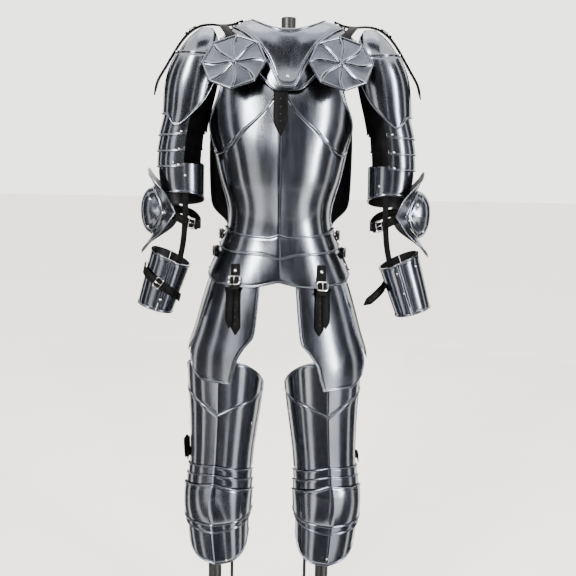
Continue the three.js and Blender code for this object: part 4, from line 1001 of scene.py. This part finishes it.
MATERIALS = [
    # Mirror steel: slow waves from hammering, fine rub marks, and a thin uneven haze.
    surface(
        "polished_steel",
        (9.0, 5, 0.6, (1, 1, 0.5)),
        [(0.3, (0.105, 0.115, 0.142)), (0.7, (0.198, 0.208, 0.236))],
        [(0.3, 0.13), (0.75, 0.27)],
        [
            (noise, (13.0, 2, 0.4, (1, 1, 0.45)), 0.4, 0.001),
            (noise, (420.0, 3, 0.6, (1, 1, 0.06)), 0.22, 0.00012),
        ],
        metallic=1.0,
        rub=(46.0, 6, 0.7, (1, 1, 0.12)),
    ),
    # The unpolished inner face: dull and a little mottled. Its near-black colour is painted shade, standing
    # for the shade inside the hollow plates.
    surface(
        "steel_inside_painted_shade",
        (30.0, 6, 0.65),
        [(0.3, (0.022, 0.022, 0.025)), (0.7, (0.06, 0.059, 0.06))],
        [(0.3, 0.38), (0.7, 0.6)],
        [(noise, (160.0, 4), 0.3, 0.0003)],
        metallic=0.9,
    ),
    # Black strap leather: fine pebbled grain, dull and shiny patches, and worn lighter spots.
    surface(
        "black_leather",
        (60.0, 5, 0.6),
        [(0.35, (0.001, 0.001, 0.0012)), (0.75, (0.0035, 0.0032, 0.0032))],
        [(0.3, 0.42), (0.7, 0.62)],
        [(pebbles, (900.0,), 0.5, 0.0003), (noise, (120.0, 3), 0.35, 0.0008)],
        specular=0.06,
    ),
    # Rivets and buckles: bright nickel with small dents and dull spots.
    surface(
        "nickel",
        (120.0, 4),
        [(0.3, (0.55, 0.54, 0.52)), (0.7, (0.78, 0.77, 0.75))],
        [(0.3, 0.14), (0.7, 0.3)],
        [(noise, (300.0, 3), 0.3, 0.0002)],
        metallic=1.0,
    ),
    # Painted shade: a near-black plug that stands for the shaded inside of a punched hole or of the hole in a
    # disc.
    surface("punched_hole_painted_shade", (400.0, 2), [(0.3, 0.003), (0.7, 0.008)], 0.9),
    # Satin black paint with a light orange-peel surface and a few scuffs.
    surface(
        "stand_paint",
        (25.0, 7, 0.7),
        [(0.55, (0.004, 0.004, 0.0045)), (0.8, (0.02, 0.019, 0.018))],
        [(0.3, 0.3), (0.8, 0.55)],
        [(noise, (260.0, 3), 0.2, 0.0003)],
    ),
]

# Where straps are looked at from, to tell their outside.
FRONT = (0.0, -1500.0, 1300.0)
SHOULDER_OUT = (400.0, -300.0, 1400.0)
ELBOW_FRONT = (150.0, -1500.0, 1100.0)
TASSET_FRONT = (90.0, -1500.0, 950.0)
UP = (0, 0, 1)
GORGET_GAP = 0.22  # degrees from each end of a gorget plate to the side plane


def ends(row, inset):
    """A row near its two ends, as shares."""
    return [(row, inset), (row, 1 - inset)]


def armour(base, grids, place=None, tail="", shares=(), radius=2.6, pixels=(), seen_radius=2.8, **options):
    """A plate and its rivets, at shares of its rows and columns and at pixels of the photograph."""
    piece = Piece(place)
    find = options.pop("find", at_pixel)
    piece.shell(grids, **options)
    for pixel in pixels:
        piece.rivet(*find(grids[0], place, *pixel), radius=seen_radius)
    for share in shares:
        piece.rivet(*share_point(grids[0], *share), radius=radius)
    piece.make(base + "_fine" + tail, base + tail)


def build_trunk():
    armour("breastplate", breastplate())
    rows = (0.08, 0.3, 0.52)
    armour("backplate", backplate(), shares=[(row, column) for column in (0.04, 0.96) for row in rows])
    for name, make_lame in (("waist_lame", waist_lame), ("fauld_lame", fauld_lame), ("culet_lame", culet)):
        armour(name, make_lame(), shares=ends(0.55, 0.03))

    piece = Piece()
    shares = (0, 0.2, 0.4, 0.6, 0.8, 1)
    stops = [(0, mix(BIB_TOP, BIB_END, t), ON_PLATE + (BEAD + 0.5 if t < 0.5 else 0.9)) for t in shares]
    bib = Strap(lying(trunk, stops), (1, 0, 0), BIB_WIDE, tip=26).into(piece)
    holes(piece, bib, FRONT, (0.32, 0.46, 0.6, 0.74))
    top = bib.facing(0.1, FRONT)
    piece.wire(circle(top, 6.4, 1.4, 32), 1.3, NICKEL, closed=True)
    piece.rivet(top[0], top[3], radius=2.4)
    piece.make("bib_strap_fine", "bib_strap")

    place = lambda p: p + np.array([SHOULDERS_SHIFT, 0, 0])
    halves = (("gorget_front", -90, 90, [(287.3, 77.7)]), ("gorget_back", 90, 270, []))
    for name, start, end, pixels in halves:
        grids = gorget(start + GORGET_GAP, end - GORGET_GAP)
        armour(name, grids, place, shares=ends(0.62, 0.06), radius=3, pixels=pixels, seen_radius=3.4)


SHOULDERS_SHIFT, LEGS_SHIFT = 12, -7
SIDES = {"left": (1, -12), "right": (-1, 0)}  # mirror, and the drop of the tasset
# Where rivets show in the photograph.
PHOTO = {
    "left": {
        "cap": (397, 81),
        "lame": (401, 174),
        "rerebrace": (378.5, 186.5),
        "cup": [(417.5, 205), (410, 220.5), (423, 232)],
        "vambrace_inner": [(397, 274), (404, 294)],
        "vambrace_outer": [(415.6, 266), (421, 289)],
        "cuisse": [(289, 411), (357, 415)],
        "greave": (327, 559),
    },
    "right": {
        "cap": (174.5, 84),
        "lame": (172, 162),
        "rerebrace": (185.5, 175),
        "cup": [(150, 199), (148, 227), (163, 213)],
        "vambrace_inner": [(166, 262), (160, 300)],
        "vambrace_outer": [(149, 262), (143, 296)],
        "cuisse": [(185, 423), (252, 423)],
        "greave": (227, 560),
    },
}


def on_side(side, shift=0):
    """Puts what is made for the left on a side, and moves it along x by the shift."""
    flip = np.array([SIDES[side][0], 1, 1])
    return lambda p: p * flip + np.array([shift, 0, 0])


def build_hips(side):
    tail, drop = "_" + side, SIDES[side][1]
    hips = on_side(side)
    hung = lambda p: hips(p + np.array([0, 0, drop]))
    piece = Piece(hips)
    piece.shell(side_strap(), LEATHER_SLOT, LEATHER_SLOT)
    for z, start, end, laps in SIDE_BANDS:
        stops = [(a, z, 3.6 + ON_PLATE + laps * LAP) for a in np.linspace(start, end, 7)]
        band = Strap(lying(trunk, stops), UP, BAND_WIDE, tip=9).into(piece)
        outside = (1000.0, 0.0, z)
        buckle(piece, band, 0.42, outside, 13)
        holes(piece, band, outside, (0.66, 0.78))
    piece.make("side_strap_fine" + tail, "side_strap" + tail)

    armour("side_tasset", side_tasset(), hung, tail, ends(0.94, 0.3))
    armour("tasset", tasset(), hung, tail)

    piece = Piece(hips)
    x, wide, tip = (TASSET_STRAP[key] for key in ("x", "wide", "tip"))
    stops = []
    for z, lift, low in TASSET_STRAP_LIFT:
        stops.append((angle_at(trunk, x, z), z, ON_PLATE + lift + 0.08 * drop * low))
    a, z = stops[3][:2]
    across = trunk(a + 1, z) - trunk(a - 1, z)
    upper = Strap(lying(trunk, stops), across, wide, tip=tip).into(piece)
    top = upper.facing(0.1, TASSET_FRONT)
    piece.rivet(top[0], top[3], radius=3.6)
    buckle(piece, upper, 0.3 if side == "left" else 0.24, TASSET_FRONT, 17)
    holes(piece, upper, TASSET_FRONT, (0.55, 0.65, 0.75, 0.85))
    # The end of the second strap shows beside the first and ends higher.
    stops = np.array(stops[3:], float) + (4.4, 0, 3.15)
    stops[-1, 1] += 13
    Strap(lying(trunk, stops), across, wide * 0.86, thick=2.2, tip=tip).into(piece)
    piece.make("tasset_strap_fine" + tail, "tasset_strap" + tail)


def cup_point(grid, place, x, y):
    """As at_pixel(), on the front half of the cup, which closes on itself."""
    i, j = nearest(grid, place, x, y, 1e3 * (grid[..., 1] > ELBOW["y"]))
    return grid[i, j], normals_of(grid)[i, j]


def build_shoulder(side):
    tail, seen = "_" + side, PHOTO[side]
    place = on_side(side, SHOULDERS_SHIFT)
    armour("pauldron", pauldron(), place, tail, [(0.9, 0.42)], radius=3)
    armour("pauldron_cap", pauldron_cap(), place, tail, pixels=[seen["cap"]], seen_radius=3.4)
    for i, row in enumerate(ARM_LAMES):
        pixels = [seen["lame"]] if i == 2 else []
        name = "arm_lame_%d" % (i + 1)
        armour(name, arm_lame(*row), place, tail, ends(0.5, 0.06), pixels=pixels, seen_radius=2.6)
    armour("rerebrace", rerebrace(), place, tail, pixels=[seen["rerebrace"]], loop=True)

    piece = Piece(place)
    stacked = 4 * LAP + RIM + ON_PLATE
    end = [arm(86, z) + outward(arm, 86, z) * (stacked + lift) for z, lift in SHOULDER_STRAP_END]
    over = Strap([*SHOULDER_STRAP, *end], (0, 1, 0), SHOULDER_WIDE, tip=16).into(piece)
    buckle(piece, over, 0.4, SHOULDER_OUT, 16)
    holes(piece, over, SHOULDER_OUT, (0.62, 0.7, 0.78, 0.86))
    # The tab hangs down behind the disc.
    tilt = rotation("X", -BESAGEW["lean"])
    behind = PLATE + ON_PLATE + 1.4
    hanging = [turned(np.array([0, behind, up]), tilt) + centre_of(BESAGEW) for up in (34, -4)]
    Strap([*BESAGEW_TAB, *hanging], (1, 0, 0), TAB_WIDE).into(piece)
    piece.make("pauldron_strap_fine" + tail, "pauldron_strap" + tail)

    turn = rotation("Z", BESAGEW["turn"]) @ tilt
    piece = Piece(lambda p: place(turned(p, turn) + centre_of(BESAGEW)))
    piece.shell(besagew(), loop=True, inside=INSIDE_SHADE)
    piece.rivet((0, -1.6, 0), (0, -1, 0), radius=4.4, high=2.6, slot=STEEL)
    # The hole in the disc is a near-black plug, painted shade for the inside of the hole.
    piece.lathe((0, 0.6, 47), (0, -1, 0), [(1.9, -0.5), (1.9, 1.35), (0.6, 1.4)], HOLE_SHADE, 14)
    piece.make("besagew_fine" + tail, "besagew" + tail)

    armour("couter_wing", couter_wing(), place, tail, loop=True)
    cup = {"pixels": seen["cup"], "seen_radius": 3, "find": cup_point, "loop": True}
    armour("couter_cup", couter_cup(), place, tail, **cup)

    piece = Piece(place)
    band = Strap(ELBOW_STRAP, (0, 0.1, 1), ARM_WIDE).into(piece)
    Strap(ELBOW_LINK, (1, 0, 0), LINK_WIDE).into(piece)
    buckle(piece, band, 0.3, ELBOW_FRONT, 14)
    piece.make("elbow_strap_fine" + tail, "elbow_strap" + tail)

    lean = rotation("Y", -VAMBRACE["lean"])
    lower = lambda p: place(turned(p, lean) + centre_of(VAMBRACE))
    start, end, gap = (VAMBRACE[key] for key in ("start", "end", "gap"))
    for name, first, last in (("vambrace_outer", start, end), ("vambrace_inner", end, start + 360)):
        armour(name, vambrace(first + gap, last - gap), lower, tail, pixels=seen[name])

    piece = Piece(lower)
    if side == "left":
        loose = Strap(FOREARM_STRAP_OPEN, UP, ARM_WIDE, tip=14).into(piece)
        holes(piece, loose, (-60, -900, -60), (0.5, 0.6, 0.7, 0.8))
    else:
        stops = [(angle, z, RIM + ON_PLATE + 1.5) for angle, z in FOREARM_STRAP]
        band = Strap(lying(forearm, stops), (0.12, 0.12, 1), ARM_WIDE).into(piece)
        buckle(piece, band, 0.5, (60, -900, -50), 15)
    piece.make("vambrace_strap_fine" + tail, "vambrace_strap" + tail)


def build_leg(side):
    tail, seen = "_" + side, PHOTO[side]
    stands = on_side(side, LEGS_SHIFT)
    turn = rotation("Y", -KNEE["lean"]) @ rotation("Z", KNEE["toe_out"])
    place = lambda p: stands(turned(p, turn) + centre_of(KNEE))
    armour("cuisse", cuisse(), place, tail, pixels=seen["cuisse"])
    for i, row in enumerate(KNEE_LAMES):
        armour("knee_lame_%d" % (i + 1), knee_lame(*row), place, tail, ends(0.5, 0.03), radius=2.4)
    armour("knee_cop", knee_cop(), place, tail, ends(0.55, 0.03), radius=3)
    armour("shin_lame", shin_lame(), place, tail)
    armour("greave", greave(), place, tail, pixels=[seen["greave"]])

    piece = Piece(place)
    band = Strap(THIGH_STRAP, UP, THIGH_WIDE).into(piece)
    if side == "left":
        buckle(piece, band, 0.62, (0, 400, 92), 16)
    else:
        end = Strap(THIGH_STRAP_END, (0.62, -0.78, 0), THIGH_WIDE - 3, tip=7).into(piece)
        holes(piece, end, (300, 100, 110), (0.35, 0.6, 0.85))
    piece.make("thigh_strap_fine" + tail, "thigh_strap" + tail)


# Stand.
STAND = {
    "base": (440, 320, 10),
    "post": {"x": 124, "y": 20, "radius": 15, "top": 912},
    "brace": {"x": 84, "y": 12, "wide": 7, "deep": 4, "top": 412},
    "strut": {"low": 896, "high": 1018, "radius": 13},
    "spine": {"x": 12, "y": 6, "radius": 15, "top": 1507},
    "shoulders": {"reach": 106, "deep": 16, "high": 10, "top": 1484.6},
    "shift": -15,
}


def block(piece, x, y, z, wide, deep, high, bevel=1.2, corner=2.0):
    """A bar or a plate with rounded upright edges and bevelled ends."""
    outline = []
    for sx, sy, start in ((1, 1, 0), (-1, 1, 90), (-1, -1, 180), (1, -1, 270)):
        a = np.radians(np.linspace(start, start + 90, 7))
        centre = (sx * (wide / 2 - corner), sy * (deep / 2 - corner))
        outline.append(np.stack([np.cos(a), np.sin(a)], -1) * corner + centre)
    outline = np.concatenate(outline)
    low = [(bevel, 0), (bevel * 0.3, bevel * 0.3), (0, bevel)]
    rings = []
    for inset, level in low + [(inset, high - level) for inset, level in low[::-1]]:
        ring = outline * (1 - 2 * inset / np.array([wide, deep]))
        rings.append(np.column_stack([ring + (x, y), np.full(len(ring), z + level)]))
    piece.ring_tube(rings, PAINT)


def build_stand():
    piece = Piece()
    wide, deep, high = STAND["base"]
    post, brace, strut, spine = (STAND[key] for key in ("post", "brace", "strut", "spine"))
    bar, shift = STAND["shoulders"], STAND["shift"]
    block(piece, shift, post["y"], 0, wide, deep, high, bevel=1.5, corner=6)
    for sign in (-1, 1):
        x, y, r = shift + sign * post["x"], post["y"], post["radius"]
        # The post in its collar, which four bolts hold to the base.
        profile = [(r + 13, high - 0.5), (r + 13, high + 3), (r + 12, high + 4), (r + 2.5, high + 4)]
        profile += [(r + 1, high + 5.5), (r, high + 7), (r, post["top"] - 1), (r - 1, post["top"])]
        piece.lathe((x, y, 0), UP, profile, PAINT, 40)
        for a in np.radians((45, 135, 225, 315)):
            bolt = (x + (r + 8) * math.cos(a), y + (r + 8) * math.sin(a), high + 4)
            piece.rivet(bolt, UP, radius=3, high=1.8, slot=PAINT)
        # The flat brace inside the leg, and the bar from its top to the post.
        size = (brace["wide"], brace["deep"], brace["top"])
        block(piece, shift + sign * brace["x"], brace["y"], high - 1, *size, 0.6, 1.2)
        size = (post["x"] - brace["x"] + 6, brace["deep"], 10)
        block(piece, shift + sign * (post["x"] + brace["x"]) / 2, brace["y"], brace["top"], *size, 0.6, 1.2)
        # The strut from the post up to the spine.
        foot = np.array([x, y, strut["low"]], float)
        run = np.array([spine["x"], spine["y"], strut["high"]], float) - foot
        far, r = float(np.linalg.norm(run)), strut["radius"]
        piece.lathe(foot, run / far, [(r - 1.5, 0), (r, 1.5), (r, far - 1.5), (r - 1.5, far)], PAINT, 32)
    r, low, top = spine["radius"], strut["high"] - 24, spine["top"]
    profile = [(r - 1, low), (r, low + 1), (r, top - 2), (r - 0.6, top - 0.6), (r - 2, top)]
    piece.lathe((spine["x"], spine["y"], 0), UP, profile, PAINT, 40)
    size = (2 * bar["reach"], bar["deep"], bar["high"])
    block(piece, spine["x"], spine["y"], bar["top"] - bar["high"], *size, 1, 2)
    piece.make("stand_fine", "stand")


build_trunk()
for side in SIDES:
    build_hips(side)
    build_shoulder(side)
    build_leg(side)
build_stand()


# Floor, light and camera, in metres.
FLOOR = 14.0
FLAG_AWAY, FLAG_TOP = 3.2, 3.4
MAT_NEAR, MAT_LIFT = 0.32, 0.004
CARD_HIGH, CARD_SIDE, CARD_FRONT, CARD_BACK = 4.4, 1.5, -3.0, -0.2
# Rows: the angle round the figure at which a flag stands, and the angle that it fills.
FLAGS = [(-82, 26), (-54, 18), (-11, 38), (24, 26), (70, 32)]
FLAGS += [(112, 34), (156, 20), (192, 28), (236, 30), (264, 10)]


def stage_material(name, colour, rough):
    dim = tuple(0.97 * c for c in colour)
    return surface(name, (3.0, 3), [(0.3, dim), (0.7, colour)], rough)


def sheet(name, corners, material):
    mesh = bpy.data.meshes.new(name)
    mesh.from_pydata(corners, [], [(0, 1, 2, 3)])
    mesh.materials.append(material)
    thing = bpy.data.objects.new(name, mesh)
    bpy.context.scene.collection.objects.link(thing)
    return thing


def level_sheet(name, side, front, back, z, material):
    return sheet(name, [(-side, front, z), (side, front, z), (side, back, z), (-side, back, z)], material)


def reflected(thing):
    """Only the steel's reflections show a thing."""
    for key in ("visible_camera", "visible_diffuse", "visible_shadow"):
        setattr(thing, key, False)


def flag(i, azimuth, spread):
    """A dark studio flag that stands at an angle round the figure, and a dark mat on the floor before it."""
    a = math.radians(azimuth)
    centre = np.array([math.sin(a), -math.cos(a)]) * FLAG_AWAY
    across = np.array([math.cos(a), math.sin(a)]) * FLAG_AWAY * math.tan(math.radians(spread / 2))
    left, right = centre - across, centre + across
    corners = [(*left, 0.0), (*right, 0.0), (*right, FLAG_TOP), (*left, FLAG_TOP)]
    reflected(sheet("flag_%d" % i, corners, flag_material))
    corners = []
    for reach, sign in ((MAT_NEAR, -1), (MAT_NEAR, 1), (FLAG_AWAY, 1), (FLAG_AWAY, -1)):
        a = math.radians(azimuth + sign * spread / 2)
        corners.append((math.sin(a) * reach, -math.cos(a) * reach, MAT_LIFT))
    reflected(sheet("mat_%d" % i, corners, flag_material))


def area(name, place, aim, wide, high, power, colour=(1, 1, 1)):
    data = bpy.data.lights.new(name, "AREA")
    data.shape = "RECTANGLE"
    data.size, data.size_y = wide, high
    data.energy = power
    data.color = colour
    lamp = bpy.data.objects.new(name, data)
    bpy.context.scene.collection.objects.link(lamp)
    z = unit(np.array(place, float) - np.array(aim, float))
    x = unit(np.cross(UP, z))
    turn = Matrix(np.stack([x, np.cross(z, x), z], -1).tolist()).to_4x4()
    lamp.matrix_world = Matrix.Translation(place) @ turn


level_sheet("floor", FLOOR, -FLOOR, FLOOR, 0, stage_material("pale_floor", (0.80, 0.78, 0.745), 0.7))
flag_material = stage_material("studio_flag", (0.012, 0.013, 0.018), 0.95)
for i, (azimuth, spread) in enumerate(FLAGS):
    flag(i, azimuth, spread)
# A grey card high up in front, for the reflections in the plates that look up.
reflected(level_sheet("card", CARD_SIDE, CARD_FRONT, CARD_BACK, CARD_HIGH, flag_material))

world = bpy.data.worlds.new("studio")
world.use_nodes = True
backdrop = world.node_tree.nodes["Background"]
backdrop.inputs["Color"].default_value = (0.93, 0.915, 0.88, 1)
backdrop.inputs["Strength"].default_value = 3.3
bpy.context.scene.world = world
area("key", (-1.6, -2.6, 2.6), (0, 0, 1.1), 0.7, 1.8, 190, (1.0, 0.98, 0.95))
area("fill", (2.3, -2.0, 1.5), (0, 0, 1.0), 0.4, 2.4, 130, (0.97, 0.98, 1.0))
area("top", (0, 0.2, 3.6), (0, 0, 1.2), 2.2, 2.2, 40)
area("back", (0.6, 2.8, 2.2), (0, 0, 1.2), 1.6, 1.6, 35)

SENSOR = 36.0  # mm
camera_data = bpy.data.cameras.new("camera")
camera_data.sensor_width = SENSOR
camera_data.lens = CAMERA["focal"] / CAMERA["frame"] * SENSOR
camera = bpy.data.objects.new("camera", camera_data)
bpy.context.scene.collection.objects.link(camera)
look = Matrix.Rotation(math.radians(90 - CAMERA["tilt"]), 4, "X")
look = look @ Matrix.Rotation(math.radians(CAMERA["roll"]), 4, "Z")
camera.matrix_world = Matrix.Translation((centre_of(CAMERA) / 1000).tolist()) @ look
bpy.context.scene.camera = camera
